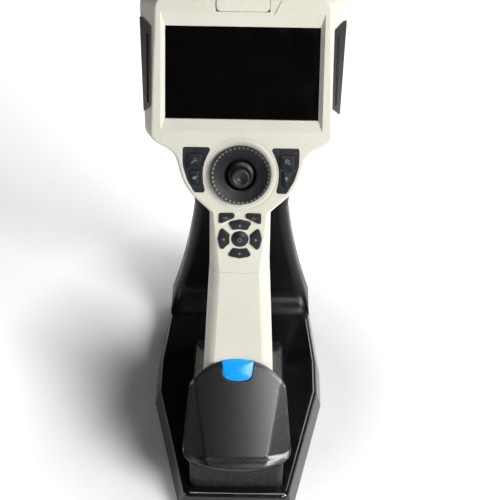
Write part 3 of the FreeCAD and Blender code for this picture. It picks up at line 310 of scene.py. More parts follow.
class Surface:
    """Builds one procedural material: tint, grain and gloss all vary over the surface."""

    def __init__(self, name, metallic=0.0, specular=0.5, coat=0.0, coat_roughness=0.1, sheen=0.0):
        self.material = bpy.data.materials.new(name)
        self.material.use_nodes = True
        self.nodes = self.material.node_tree.nodes
        self.links = self.material.node_tree.links
        self.shader = self.nodes["Principled BSDF"]
        self.shader.inputs["Metallic"].default_value = metallic
        self.shader.inputs["Specular IOR Level"].default_value = specular
        self.shader.inputs["Coat Weight"].default_value = coat
        self.shader.inputs["Coat Roughness"].default_value = coat_roughness
        self.shader.inputs["Sheen Weight"].default_value = sheen
        self.place = self.nodes.new("ShaderNodeTexCoord").outputs["Object"]

    def noise(self, size, detail=3.0, roughness=0.55, stretch=(1, 1, 1)):
        """Noise whose blotches measure about this many millimetres."""
        mapping = self.nodes.new("ShaderNodeMapping")
        mapping.inputs["Scale"].default_value = stretch
        self.links.new(self.place, mapping.inputs["Vector"])
        texture = self.nodes.new("ShaderNodeTexNoise")
        texture.inputs["Scale"].default_value = 1 / (size * MM)
        texture.inputs["Detail"].default_value = detail
        texture.inputs["Roughness"].default_value = roughness
        self.links.new(mapping.outputs["Vector"], texture.inputs["Vector"])
        return texture.outputs["Fac"]

    def cells(self, size, feature="F1"):
        texture = self.nodes.new("ShaderNodeTexVoronoi")
        texture.feature = feature
        texture.inputs["Scale"].default_value = 1 / (size * MM)
        self.links.new(self.place, texture.inputs["Vector"])
        return texture.outputs["Distance"]

    def ramp(self, value, low, high, from_low=0.0, from_high=1.0):
        node = self.nodes.new("ShaderNodeMapRange")
        node.inputs["From Min"].default_value = low
        node.inputs["From Max"].default_value = high
        node.inputs["To Min"].default_value = from_low
        node.inputs["To Max"].default_value = from_high
        self.links.new(value, node.inputs["Value"])
        return node.outputs["Result"]

    def blend(self, share, first, second):
        node = self.nodes.new("ShaderNodeMix")
        node.data_type = "RGBA"
        self.links.new(share, node.inputs["Factor"])
        for socket, colour in ((node.inputs["A"], first), (node.inputs["B"], second)):
            if isinstance(colour, tuple):
                socket.default_value = (*colour, 1)
            else:
                self.links.new(colour, socket)
        return node.outputs["Result"]

    def tint(self, first, second, size=40.0):
        """Base colour that drifts between two tints over a distance."""
        share = self.ramp(self.noise(size), 0.35, 0.65)
        return self.blend(share, first, second)

    def worn(self, colour, worn_colour, share=0.5):
        """Rubbed edges: a paler colour where the surface is sharply convex."""
        geometry = self.nodes.new("ShaderNodeNewGeometry")
        edge = self.ramp(geometry.outputs["Pointiness"], 0.53, 0.62, 0.0, share)
        rub = self.ramp(self.noise(3.0), 0.4, 0.7)
        product = self.nodes.new("ShaderNodeMath")
        product.operation = "MULTIPLY"
        self.links.new(edge, product.inputs[0])
        self.links.new(rub, product.inputs[1])
        return self.blend(product.outputs["Value"], colour, worn_colour)

    def paint(self, colour):
        self.links.new(colour, self.shader.inputs["Base Color"])

    def gloss(self, low, high, size=8.0):
        self.links.new(self.ramp(self.noise(size, 5), 0.35, 0.65, low, high),
                       self.shader.inputs["Roughness"])

    def grain(self, *layers):
        """Surface relief from (height value, depth in millimetres) layers."""
        normal = None
        for height, depth in layers:
            bump = self.nodes.new("ShaderNodeBump")
            bump.inputs["Strength"].default_value = 1.0
            bump.inputs["Distance"].default_value = depth * MM
            self.links.new(height, bump.inputs["Height"])
            if normal:
                self.links.new(normal, bump.inputs["Normal"])
            normal = bump.outputs["Normal"]
        self.links.new(normal, self.shader.inputs["Normal"])


def moulded(name, first, second, rough, grain_size, grain_depth, worn=None, **shader):
    """A moulded plastic or rubber: two close tints, fine spark-eroded grain, uneven gloss."""
    surface = Surface(name, **shader)
    colour = surface.tint(first, second)
    if worn:
        colour = surface.worn(colour, worn)
    surface.paint(colour)
    surface.gloss(*rough)
    surface.grain((surface.noise(grain_size, 2), grain_depth), (surface.noise(14.0, 2), 0.02))
    return surface.material


def ivory_plastic():
    surface = Surface("ivory_plastic", specular=0.42)
    drift = surface.tint((0.600, 0.588, 0.512), (0.632, 0.620, 0.545), 60)
    dust = surface.ramp(surface.noise(1.1, 2), 0.68, 0.8, 0.0, 0.25)
    colour = surface.blend(dust, drift, (0.56, 0.53, 0.44))
    surface.paint(surface.worn(colour, (0.78, 0.76, 0.68), 0.35))
    surface.gloss(0.42, 0.55, 12)
    surface.grain((surface.noise(0.45, 2), 0.012), (surface.noise(18.0, 2), 0.02))
    return surface.material


def gloss_black():
    """Polished black moulding with dust and hairline scratches in its clear surface."""
    surface = Surface("gloss_black", specular=0.5, coat=0.3, coat_roughness=0.06)
    dust = surface.ramp(surface.noise(0.9, 3), 0.70, 0.80, 0.0, 0.5)
    base = surface.tint((0.0035, 0.0035, 0.0045), (0.006, 0.006, 0.0075), 90)
    surface.paint(surface.blend(dust, base, (0.06, 0.06, 0.065)))
    surface.gloss(0.10, 0.22, 22)
    surface.grain((surface.noise(25.0, 2), 0.05),
                  (surface.noise(1.2, 4, stretch=(1, 0.06, 1)), 0.0012))
    return surface.material


def satin_black():
    surface = Surface("satin_black", specular=0.26)
    base = surface.tint((0.0010, 0.0010, 0.0013), (0.0020, 0.0021, 0.0025), 70)
    surface.paint(surface.worn(base, (0.04, 0.04, 0.045), 0.5))
    surface.gloss(0.26, 0.38, 16)
    surface.grain((surface.noise(0.6, 2), 0.010), (surface.noise(22.0, 2), 0.03))
    return surface.material


def flecked_black():
    """Soft black paint with fine pale flecks in it."""
    surface = Surface("flecked_black", specular=0.65, coat=0.15, coat_roughness=0.26)
    base = surface.tint((0.0014, 0.0014, 0.0018), (0.0024, 0.0023, 0.0028), 35)
    fleck = surface.ramp(surface.noise(0.75, 3, 0.7), 0.58, 0.80, 0.0, 0.35)
    colour = surface.blend(fleck, base, (0.040, 0.040, 0.043))
    surface.paint(surface.worn(colour, (0.10, 0.10, 0.105), 0.4))
    surface.gloss(0.27, 0.31, 1.6)
    surface.grain((surface.noise(0.5, 2), 0.008), (surface.noise(24.0, 2), 0.01))
    return surface.material


def eroded_black():
    return moulded("eroded_black", (0.0085, 0.0082, 0.0086), (0.0135, 0.0128, 0.0132), (0.50, 0.66, 7), 0.8,
                   0.05, worn=(0.06, 0.06, 0.063), specular=0.3)


def grip_rubber():
    return moulded("grip_rubber", (0.004, 0.004, 0.0048), (0.008, 0.008, 0.009), (0.36, 0.50, 6), 0.6, 0.03,
                   worn=(0.05, 0.05, 0.055), specular=0.4)


def key_rubber():
    return moulded("key_rubber", (0.0042, 0.005, 0.0066), (0.0070, 0.0082, 0.0102), (0.36, 0.48, 5), 0.5,
                   0.02, worn=(0.05, 0.055, 0.065), specular=0.35)


def dial_black():
    return moulded("dial_black", (0.0030, 0.0034, 0.0042), (0.0058, 0.0064, 0.0078), (0.34, 0.46, 5), 0.5,
                   0.02, worn=(0.06, 0.065, 0.07), specular=0.38)


def screen_glass():
    """Unlit display under its window: deep black, a haze of dust and a wiped patch."""
    surface = Surface("screen_glass", specular=0.3, coat=0.1, coat_roughness=0.03)
    haze = surface.ramp(surface.noise(30, 3), 0.45, 0.75, 0.0, 0.35)
    dust = surface.ramp(surface.noise(1.3, 2), 0.74, 0.80, 0.0, 0.6)
    base = surface.blend(haze, (0.0003, 0.0003, 0.0004), (0.0012, 0.0013, 0.0022))
    surface.paint(surface.blend(dust, base, (0.03, 0.03, 0.035)))
    surface.gloss(0.06, 0.16, 18)
    surface.grain((surface.noise(40, 2), 0.01), (surface.noise(0.8, 2), 0.0006))
    return surface.material


def blue_plastic():
    surface = Surface("blue_plastic", specular=0.5, coat=0.2, coat_roughness=0.10)
    surface.shader.inputs["Subsurface Weight"].default_value = 0.25
    surface.shader.inputs["Subsurface Radius"].default_value = (0.0004, 0.0008, 0.002)
    # Painted glow: the button is no lamp, yet a weak blue emission brightens it.
    surface.shader.inputs["Emission Color"].default_value = (0.0, 0.36, 0.95, 1)
    surface.shader.inputs["Emission Strength"].default_value = 0.16
    surface.paint(surface.tint((0.0, 0.30, 0.88), (0.002, 0.34, 0.95), 9))
    surface.gloss(0.2, 0.32, 4)
    surface.grain((surface.noise(0.6, 2), 0.003), (surface.noise(9.0, 2), 0.01))
    return surface.material


# Matte finish, used for the real print on the keys and for the painted highlight on the dial's teeth.
def print_and_painted_highlight(name, first, second):
    return moulded(name, first, second, (0.5, 0.65, 2), 0.3, 0.008)


def metal(name, first, second, rough):
    """Machined or plated metal with fine directional lines."""
    surface = Surface(name, metallic=1.0)
    surface.paint(surface.tint(first, second, 12))
    surface.gloss(*rough)
    surface.grain((surface.noise(0.5, 3, stretch=(1, 1, 0.05)), 0.01))
    return surface.material


def circuit_board():
    surface = Surface("circuit_board", specular=0.5)
    traces = surface.ramp(surface.cells(2.4), 0.18, 0.24)
    colour = surface.blend(traces, (0.02, 0.16, 0.06), (0.008, 0.075, 0.028))
    surface.paint(colour)
    surface.gloss(0.3, 0.45)
    surface.grain((surface.cells(2.4), 0.02))
    return surface.material


IVORY = ivory_plastic()
GLOSS = gloss_black()
SATIN = satin_black()
FLECKED = flecked_black()
ERODED = eroded_black()
RUBBER = grip_rubber()
KEY = key_rubber()
DIAL = dial_black()
GLASS = screen_glass()
BLUE = blue_plastic()
ICON = print_and_painted_highlight("icon_print", (0.10, 0.17, 0.23), (0.13, 0.20, 0.27))
# Paler grey for the dial's tooth facets: a painted highlight.
TOOTH_PAINTED_HIGHLIGHT = print_and_painted_highlight("tooth_painted_highlight", (0.10, 0.10, 0.098), (0.17, 0.17, 0.166))
CAP = moulded("cap_black", (0.0060, 0.0068, 0.0080), (0.0105, 0.0115, 0.0130), (0.34, 0.46, 4), 0.5, 0.02,
              worn=(0.09, 0.09, 0.095), specular=0.4)
PANEL = moulded("panel_dark", (0.010, 0.010, 0.012), (0.016, 0.016, 0.018), (0.3, 0.4, 6), 0.8, 0.01)
STEEL = metal("steel", (0.55, 0.55, 0.56), (0.66, 0.66, 0.66), (0.28, 0.4, 3))
ALLOY = metal("alloy", (0.70, 0.71, 0.72), (0.80, 0.80, 0.81), (0.3, 0.45, 3))
BRASS = metal("brass", (0.72, 0.50, 0.20), (0.80, 0.58, 0.27), (0.2, 0.34, 2))
BOARD = circuit_board()
WRAP = moulded("cell_wrap", (0.04, 0.12, 0.30), (0.05, 0.14, 0.34), (0.28, 0.4, 8), 0.8, 0.01)
IRON = moulded("ballast_iron", (0.10, 0.10, 0.10), (0.15, 0.145, 0.14), (0.55, 0.7, 6), 1.2, 0.06)
PAD = moulded("pad_rubber", (0.035, 0.035, 0.036), (0.055, 0.055, 0.056), (0.6, 0.8, 5), 1.0, 0.06)

BY_SLOT = {
    "ivory": IVORY, "black_gloss": GLOSS, "black_matte": ERODED, "black_rubber": RUBBER,
    "screen_glass": GLASS, "panel_dark": PANEL, "steel": STEEL, "alloy": ALLOY, "brass": BRASS,
    "board": BOARD, "blue": BLUE, "key_dark": KEY, "cell_wrap": WRAP, "ballast": IRON, "grey_rubber": PAD,
}


def paint_cad_nodes():
    """Every node of the frame takes the finish of its own material slot."""
    for subpart in frame["record"]["subparts"]:
        data = frame["nodes"][subpart["node"]].data
        data.materials.clear()
        data.materials.append(BY_SLOT[subpart["material_slot"]])


# ---- stand ----------------------------------------------------------------------------------

def stand_column():
    """Waisted column: bevelled edges rounded over, a sweep at its foot, a rest at its top."""
    low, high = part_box("stand_column")
    floor = low.z / MM
    sweep = arc((73, floor), (89.1, floor + 6.9), (96, floor + 23), 8)
    lean = arc((96, 136), (87, 218), (57, 297), 14)
    crown = arc((81.1, 345.3), (89, 353.2), (99, 348), 12)
    peak = max(crown, key=lambda point: point[1])
    peak_at = crown.index(peak)
    front = sweep + lean + crown[:peak_at + 1]
    back = [(126, floor)] + arc((126, 226), (118, 288), (99, 348), 10) + crown[peak_at:][::-1]
    back = sorted(back, key=lambda point: point[1])
    waist = (arc((65.2, floor), (50.6, floor + 58), (42, 136), 10)
             + arc((42, 136), (47.4, 226), (38, 362), 14)[1:])
    levels = sorted({round(z, 2) for _, z in front + back + waist if floor <= z <= peak[1] - 0.2})
    mesh = bmesh.new()
    previous = None
    for z in levels:
        near, far, half = level(front, z), level(back, z), level(waist, z)
        thick = far - near
        radius = min(9.0, thick * 0.42)
        corners = [(half, near), (half, far), (-half, far), (-half, near)]
        ring = add_ring(mesh, [Vector((x, y, z)) * MM for x, y in rounded(corners, radius, 6)])
        if previous:
            join_rings(mesh, previous, ring)
        else:
            mesh.faces.new(ring[::-1])
        previous = ring
    mesh.faces.new(previous)
    piece("column_shell", mesh, "stand", [SATIN], ["stand_column"], sharp=24)


# ---- battery cover --------------------------------------------------------------------------

CREASE_SLOPE = 14.2 / 90
FLANK_TILT = math.tan(math.radians(19))
HANDLE_LEAN = 23.2 / 81.1
BACK_PLANE = -83.3
BEND = 78.9
SPLIT = 46.8


def crease(up):
    """Half width of the cover's raised middle at a height."""
    return 37 + (up + 10) * CREASE_SLOPE


def smooth_line(table, value):
    """A smooth value read from a short table of (place, value) pairs."""
    if value <= table[0][0]:
        return table[0][1]
    for (a, low), (b, high) in zip(table, table[1:]):
        if value <= b:
            t = (value - a) / (b - a)
            return low + (high - low) * t * t * (3 - 2 * t)
    return table[-1][1]


LIP = [(0, -0.6), (0.9, -1.8), (2.4, -2.3), (4.6, -2.0), (12.6, 0.0)]


def cover_edges():
    """Right half of the cover's outline, as its top, side and bottom edges."""
    arch = arc((-24, -6.2), (0, 0), (24, -6.2), 48)[24:]
    top = arch + arc((24, -6.2), (33, -13.7), (39.8, -22.2), 16)[1:]
    corner = arc((44.9, -74.8), (43.6, -81.2), (37, -86.9), 12)
    side = [(39.8, -22.2), (44.9, -74.8)] + corner[1:7]
    belly = arc((-37, -86.9), (0, -92.3), (37, -86.9), 48)[24:]
    bottom = belly + corner[6:-1][::-1]
    return top, side, bottom


def cover_face():
    """Grid of (x, up) points over the cover, with one column along each crease."""
    top, side, bottom = cover_edges()
    height = 88.0
    rows = [0, 0.5, 1, 1.8, 2.6, 3.2, 3.8, 5]
    rows += [5 + 70 * step / 18 for step in range(1, 19)]
    rows += [height - s for s in (12.6, 11.8, 11, 10.2, 9.4, 8.6, 7.6, 6.6, 5.6, 4.6, 3.6, 2.8, 2.0, 1.4,
                                  0.9, 0.4, 0)]
    top_share = next(s / 400 for s in range(401)
                     if along(top, s / 400)[0] >= crease(along(top, s / 400)[1]))
    low_share = next(s / 400 for s in range(401)
                     if along(bottom, s / 400)[0] >= crease(along(bottom, s / 400)[1]))
    middle = [step / 14 for step in range(15)]
    flank = [0.08, 0.2, 0.35, 0.5, 0.65, 0.78, 0.86, 0.91, 0.94, 0.97, 0.985, 1.0]
    grid = []
    for row in rows:
        v = row / height
        line = []
        for share in middle:
            a, b = along(top, share * top_share), along(bottom, share * low_share)
            line.append((a[0] + (b[0] - a[0]) * v, a[1] + (b[1] - a[1]) * v))
        straight_a, straight_b = side[0], side[-1]
        true_side = along(side, v)
        plain_side = (straight_a[0] + (straight_b[0] - straight_a[0]) * v,
                      straight_a[1] + (straight_b[1] - straight_a[1]) * v)
        push = (true_side[0] - plain_side[0], true_side[1] - plain_side[1])
        for share in flank:
            a = along(top, top_share + (1 - top_share) * share)
            b = along(bottom, low_share + (1 - low_share) * share)
            line.append((a[0] + (b[0] - a[0]) * v + push[0] * share,
                         a[1] + (b[1] - a[1]) * v + push[1] * share))
        grid.append([(-x, y) for x, y in line[:0:-1]] + line)
    return rows, height, grid


def back_reach(point):
    """How far a wall of the cover runs back from a point of its front, to its split line."""
    into = SHIELD.into
    reach = 0.0
    while reach < 70:
        y, z = (point.y + into.y * reach * MM) / MM, (point.z + into.z * reach * MM) / MM
        slant = BACK_PLANE + (z - BEND) * HANDLE_LEAN
        limit = BACK_PLANE if z < BEND else slant
        if y > limit or z < SPLIT:
            break
        reach += 0.25
    return max(reach, 1.0)


def edge_distance(x, up, outline):
    return min(math.dist((x, up), point) for point in outline)


def battery_cover():
    """Sloping cover: raised middle, slanted flanks, beaded rim and a flared lip below."""
    rows, height, grid = cover_face()
    mesh = bmesh.new()
    top, side, bottom = cover_edges()
    rim = [along(edge, step / 240) for edge in (top, side) for step in range(241)]
    verts = []
    for row, line in zip(rows, grid):
        made = []
        for x, up in line:
            deep = max(0.0, abs(x) - crease(up)) * FLANK_TILT
            deep += max(0.0, 3.2 - row) * 0.28
            side_gap = edge_distance(abs(x), up, rim)
            flare = min(1.0, side_gap / 18)
            deep += smooth_line(LIP, height - row) * (0.3 + 0.7 * flare * flare * (3 - 2 * flare))
            if side_gap < 1.3 and height - row > 2:
                deep -= 0.5 * math.cos(side_gap / 1.3 * math.pi / 2)
            crown = 1.9 * (1 - (x / 40) ** 2)
            made.append(mesh.verts.new(SHIELD.at(x, deep + 1.9 - crown, up)))
        verts.append(made)
    for upper, lower in zip(verts, verts[1:]):
        for index in range(len(upper) - 1):
            mesh.faces.new((upper[index], upper[index + 1], lower[index + 1], lower[index]))
    loop = verts[0] + [line[-1] for line in verts[1:-1]] + verts[-1][::-1] + [
        line[0] for line in verts[-2:0:-1]]
    back = [mesh.verts.new(v.co + SHIELD.into * back_reach(v.co) * MM) for v in loop]
    join_rings(mesh, loop, back)
    bmesh.ops.triangle_fill(mesh, edges=[e for e in mesh.edges if e.is_boundary], use_beauty=True)
    bmesh.ops.recalc_face_normals(mesh, faces=mesh.faces)
    cutter = bmesh.new()
    notch = [(13.8, 4), (13.1, -9), (12.2, -13.6), (11.2, -16.1)]
    notch += arc((9.2, -17.7), (0, -18.9), (-9.2, -17.7), 8)
    notch += [(-11.2, -16.1), (-12.2, -13.6), (-13.1, -9), (-13.8, 4)]
    near = add_ring(cutter, [SHIELD.at(x, -6, up) for x, up in notch])
    far = add_ring(cutter, [SHIELD.at(x, 9, up) for x, up in notch])
    cutter.faces.new(near)
    cutter.faces.new(far[::-1])
    join_rings(cutter, near, far)
    body = cut_away(mesh, cutter)
    item = piece("cover_shell", body, "battery", [FLECKED], ["battery_cover"], sharp=28)
    add_bevel(item, 0.45)
    bead("cover_notch_bead", notch[1:-1], SHIELD, 0.1, 0.5, "battery", FLECKED)


def cut_away(solid, cutter):
    """The solid bmesh with the cutter bmesh taken out of it."""
    bmesh.ops.recalc_face_normals(cutter, faces=cutter.faces)
    items = []
    for label, mesh in (("solid", solid), ("cutter", cutter)):
        data = bpy.data.meshes.new(label)
        mesh.to_mesh(data)
        mesh.free()
        item = bpy.data.objects.new(label, data)
        bpy.context.scene.collection.objects.link(item)
        items.append(item)
    target, tool = items
    boolean = target.modifiers.new("cut", "BOOLEAN")
    boolean.object = tool
    boolean.operation = "DIFFERENCE"
    boolean.solver = "EXACT"
    bpy.context.view_layer.update()
    result = bmesh.new()
    result.from_object(target, bpy.context.evaluated_depsgraph_get())
    for item in items:
        bpy.data.objects.remove(item)
    return result


def bead(name, line, face, deep, radius, body, material):
    """A round bead along an open line of points on a face."""
    count = 8
    mesh = bmesh.new()
    rings = []
    total = len(line)
    for index, (x, up) in enumerate(line):
        before = line[max(index - 1, 0)]
        after = line[min(index + 1, total - 1)]
        run = Vector((after[0] - before[0], after[1] - before[1])).normalized()
        points = []
        for step in range(count):
            angle = math.tau * step / count
            side, rise = radius * math.cos(angle), radius * math.sin(angle)
            points.append(face.at(x - run.y * side, deep + rise, up + run.x * side))
        rings.append(add_ring(mesh, points))
    for first, second in zip(rings, rings[1:]):
        join_rings(mesh, first, second)
    mesh.faces.new(rings[0])
    mesh.faces.new(rings[-1][::-1])
    piece(name, mesh, body, [material], sharp=60)


def release_button():
    """Bright release button, gently crowned, in the notch at the cover's top."""
    outline = [(13, -1.7), (12.3, -9), (11.4, -13.6), (10.3, -15.6)]
    outline += arc((8.4, -16.9), (0, -18.1), (-8.4, -16.9), 10)
    outline += [(-10.3, -15.6), (-11.4, -13.6), (-12.3, -9), (-13, -1.7)]
    outline += arc((-13, -1.7), (0, -0.1), (13, -1.7), 12)[1:-1]
    mesh = pillow(SHIELD, dense(outline, 1.2), -0.7, 0.8, 0.9, 0.9)
    piece("button_cap", mesh, "button", [BLUE], ["release_button"], sharp=50)


# ---- keys -----------------------------------------------------------------------------------

def key_outline(node, face, deep):
    """Outline of a key of the frame, read from its vertices at one depth."""
    points = set()
    for vertex in frame["nodes"][node].data.vertices:
        x, vertex_deep, up = face.read(vertex.co)
        if abs(vertex_deep - deep) < 0.02:
            points.add((round(x, 3), round(up, 3)))
    centre_x = sum(x for x, _ in points) / len(points)
    centre_y = sum(y for _, y in points) / len(points)
    return sorted(points, key=lambda p: math.atan2(p[1] - centre_y, p[0] - centre_x))


def triangle(x, y, size, angle):
    return [[(x + size * math.cos(angle + k * math.tau / 3), y + size * math.sin(angle + k * math.tau / 3))
             for k in range(3)]]


def disc(x, y, radius, count=20):
    return [circle(x, y, radius, count)]


def icon_shapes():
    """The mark on each key, as layers of flat polygons around its middle."""
    ring = ribbon(circle(0, 0, 1.0, 28), 0.34, closed=True)
    magnifier = [
        ribbon(circle(-0.4, 0.5, 1.55, 28), 0.42, closed=True), ribbon([(0.8, -0.7), (2.2, -2.1)], 0.6),
        ribbon([(-1.2, 0.5), (0.4, 0.5)], 0.32), ribbon([(-0.4, -0.3), (-0.4, 1.3)], 0.32),
    ]
    wrench = [
        ribbon([(-2.1, -1.7), (0.6, 0.4)], 0.8),
        ribbon(circle(1.3, 1.0, 0.95, 14, math.radians(85), math.radians(275)), 0.6),
    ]
    brush = [
        [[(-1.9, -0.9), (-0.4, -1.3), (1.0, -0.7), (1.4, 0.4), (0.6, 1.3), (-0.9, 0.9), (-1.7, 0.1)]],
        ribbon([(1.2, 0.7), (2.3, 1.4)], 0.5),
    ]
    bulb = [disc(0, 0.6, 1.2), ribbon([(-0.6, -0.95), (0.6, -0.95)], 0.35),
            ribbon([(-0.4, -1.5), (0.4, -1.5)], 0.35)]
    pages = [ribbon([(-2.0, -1.0), (-0.3, -1.0), (-0.3, 1.0), (-2.0, 1.0)], 0.3, closed=True),
             ribbon([(0.3, -1.0), (2.0, -1.0), (2.0, 1.0), (0.3, 1.0)], 0.3, closed=True)]
    capture = [ribbon(circle(-0.9, 0.5, 0.9, 18), 0.3, closed=True), triangle(1.4, -0.7, 0.9, 0.0),
               ribbon([(-1.6, -1.3), (-0.2, -1.3)], 0.3)]
    arrows = {"key_up": 90, "key_down": -90, "key_left": 180, "key_right": 0}
    marks = {name: [triangle(0, 0, 1.5, math.radians(angle))] for name, angle in arrows.items()}
    marks.update({"key_centre": [ring], "key_zoom": magnifier, "key_tool": wrench, "key_hand": brush,
                  "key_light": bulb, "key_book": pages, "key_capture": capture})
    return marks


def keys():
    head_keys = ("key_tool", "key_hand", "key_zoom", "key_light")
    for name, shapes in icon_shapes().items():
        face = HEAD if name in head_keys else HANDLE
        proud = 1.7 if name in head_keys else 1.3
        if name == "key_centre":
            outline = circle(0, 0, 6.75, 48)
            mesh = pillow(face, outline, -proud + 0.5, 4.2, 1.0, 1.5, 8)
            crown = -proud - 1.0
        else:
            outline = key_outline(name, face, 0.5 - proud)
            mesh = pillow(face, dense(outline, 0.8), -proud, 4.2, 0.8, 0.35)
            crown = -proud - 0.35
        body = name + "_body"
        piece(name + "_cap", mesh, body, [KEY], [name], sharp=50)
        x = sum(px for px, _ in outline) / len(outline)
        up = sum(py for _, py in outline) / len(outline)
        size = {"key_centre": 1.45, "key_book": 0.8, "key_capture": 0.8}.get(name, 1.0)
        raised_marks(name + "_mark", face, shapes, x, up, crown - 0.05, 0.35, body, ICON, size)


# ---- joystick and dial ----------------------------------------------------------------------

def lock_dial():
    """Dished dial round a dark well; forty small teeth stand on its rim and face inward; a paler grey on their
    facets is a painted highlight.
    """
    profile = [
        (20.4, 5.0), (20.4, 0.6), (22.9, 0.6), (23.0, 0.2), (23.0, -3.3), (22.85, -3.8), (22.6, -4.0),
        (22.2, -4.05), (21.8, -4.05), (21.4, -4.02), (21.0, -3.98), (20.6, -3.9), (20.0, -3.75),
        (18.6, -3.35), (16.4, -2.95), (14.4, -2.75), (13.2, -2.6), (12.4, -2.3), (12.05, -1.8),
        (12.05, -1.0), (15.0, -0.6), (17.8, 1.4), (17.8, 5.0),
    ]
    per_tooth = 10
    teeth = 40
    mesh = bmesh.new()
    rings = []
    for radius, deep in profile:
        points = []
        for step in range(per_tooth * teeth):
            angle = math.tau * step / (per_tooth * teeth)
            offset = abs(step % per_tooth - per_tooth / 2) / (per_tooth / 2)
            points.append(HEAD.at(radius * math.cos(angle), deep - tooth_rise(radius, deep, offset),
                                  radius * math.sin(angle)))
        rings.append(add_ring(mesh, points))
    for first, second in zip(rings, rings[1:] + rings[:1]):
        join_rings(mesh, first, second)
    # Painted highlight: the tooth facets take the paler second material, as if they caught the light.
    for face in mesh.faces:
        x, deep, up = HEAD.read(face.calc_center_median())
        if 20.7 < math.hypot(x, up) < 22.3 and deep < -4.12:
            face.material_index = 1
    piece("dial_ring", mesh, "dial", [DIAL, TOOTH_PAINTED_HIGHLIGHT], ["lock_dial"], sharp=30)


def tooth_rise(radius, deep, offset):
    """Height of a tooth: a facet that widens and rises toward the dial's edge."""
    if deep > -3.7 or not 20.6 < radius < 22.7:
        return 0.0
    out = min(1.0, (radius - 20.6) / 1.6)
    return 0.95 * out * max(0.0, min(1.0, 1.6 * (1 - offset / (0.25 + 0.5 * out))))


def joystick():
    """Stick with a stepped collar over its dome, which fills the dial's well at every tilt."""
    pivot, dome = 13, 16.6
    skirt = [(dome * math.sin(math.radians(a)), pivot - dome * math.cos(math.radians(a)))
             for a in range(23, 63, 3)]
    under = [((dome - 1.6) * math.sin(math.radians(a)), pivot - (dome - 1.6) * math.cos(math.radians(a)))
             for a in range(61, 11, -6)]
    stem = [(3.3, -10.4), (3.3, -7.6), (5.0, -7.0), (7.2, -7.0), (8.0, -7.35), (8.5, -7.35), (8.9, -7.05),
            (9.0, -6.6), (9.0, -6.1), (8.6, -5.7), (7.0, -5.2), (6.75, -4.0), (6.6, -2.6)]
    tail = [(3.0, pivot + 3), (2.0, pivot + 4), (2.0, pivot + 16), (0, pivot + 16)]
    mesh = lathe(HEAD, stem + skirt + under + tail)
    top = [vertex for vertex in mesh.verts if abs(HEAD.read(vertex.co)[1] + 10.4) < 0.01]
    mesh.faces.new(sorted(top, key=lambda v: math.atan2(HEAD.read(v.co)[2], HEAD.read(v.co)[0])))
    piece("stick_boot", mesh, "stick", [DIAL], ["joystick_stem"], sharp=60)
    cap = [(2.6, -9.9), (6.2, -9.9), (6.9, -10.5), (7.1, -11.2), (7.1, -12.4), (6.9, -13.2), (6.4, -13.75),
           (5.8, -13.9), (5.2, -13.75), (4.6, -13.45), (3.2, -13.25), (2.3, -13.15), (1.9, -12.9),
           (1.5, -12.45), (0.8, -12.2), (0, -12.15)]
    piece("stick_cap", lathe(HEAD, cap), "stick", [CAP], ["thumb_cap"], sharp=60)


def collar():
    """Raised ring round the dial with generic lock marks."""
    profile = [(23.6, 1.0), (23.6, 0.35), (23.9, 0.1), (27.6, 0.0), (28.0, 0.2), (28.2, 0.2), (28.5, -0.15),
               (28.9, -0.15), (29.0, 0.1), (29.0, 1.0)]
    piece("dial_collar", lathe(HEAD, profile, 128), "handset", [IVORY], sharp=40)
    padlock = [ribbon([(-1.3, -0.55), (1.3, -0.55)], 1.7),
               ribbon([(-0.85, 0.3), (-0.85, 0.9)] + circle(0, 0.9, 0.85, 8, math.pi, -math.pi)[1:]
                      + [(0.85, 0.3)], 0.36)]
    opened = [ribbon([(-1.3, -0.55), (1.3, -0.55)], 1.7),
              ribbon([(-0.85, 0.3), (-0.85, 1.3)] + circle(0, 1.3, 0.85, 8, math.pi, -math.pi)[1:], 0.36)]
    for name, shapes, up in (("mark_locked", padlock, 25.7), ("mark_unlocked", opened, -25.9)):
        raised_marks(name, HEAD, shapes, 0, up, -0.32, 0.5, "handset", IVORY, 0.85)
    for name, start, sign in (("mark_arc_up", 76, -1), ("mark_arc_down", -76, 1)):
        first = math.radians(start)
        turn = math.radians(38) * sign
        line = [(25.8 * math.cos(first + turn * k / 12), 25.8 * math.sin(first + turn * k / 12))
                for k in range(13)]
        tip = first + turn
        head = triangle(25.8 * math.cos(tip), 25.8 * math.sin(tip), 1.2, tip + math.pi / 2 * sign)
        raised_marks(name, HEAD, [ribbon(line, 0.5), head], 0, 0, -0.28, 0.5, "handset", IVORY)


# ---- camera, light and floor ----------------------------------------------------------------

def camera():
    """Camera held at the user's eye, above and in front of the display."""
    data = bpy.data.cameras.new("camera")
    data.lens = 100.8
    data.sensor_width = 36
    data.clip_end = 20
    item = bpy.data.objects.new("camera", data)
    bpy.context.scene.collection.objects.link(item)
    share = 0.05  # from the view square to the handset to the one square to the stand
    place = Vector((0.0079, -0.8640, 0.9517)).lerp(Vector((-0.0160, -0.8638, 0.9512)), share)
    ahead = Vector((0, 0.74314, -0.66913)).lerp(Vector((0.02723, 0.74265, -0.66913)), share)
    above = Vector((-0.0192, 0.6690, 0.7430)).lerp(Vector((0.02103, 0.66881, 0.74314)), share)
    side = ahead.cross(above).normalized()
    above = side.cross(ahead).normalized()
    back = -ahead.normalized()
    item.matrix_world = Matrix((
        (side.x, above.x, back.x, place.x), (side.y, above.y, back.y, place.y),
        (side.z, above.z, back.z, place.z), (0, 0, 0, 1)))
    bpy.context.scene.camera = item


def soft_light(name, place, target, size, power, colour=(1, 1, 1), spread=None):
    """An area light; one with a spread is narrow and only makes gleams."""
    data = bpy.data.lights.new(name, "AREA")
    data.shape = "RECTANGLE"
    data.size, data.size_y = size
    data.energy = power
    data.color = colour
    item = bpy.data.objects.new(name, data)
    bpy.context.scene.collection.objects.link(item)
    if spread:
        data.spread = math.radians(spread)
        item.visible_diffuse = False
    item.location = place
    item.rotation_euler = (Vector(target) - Vector(place)).to_track_quat("-Z", "Y").to_euler()


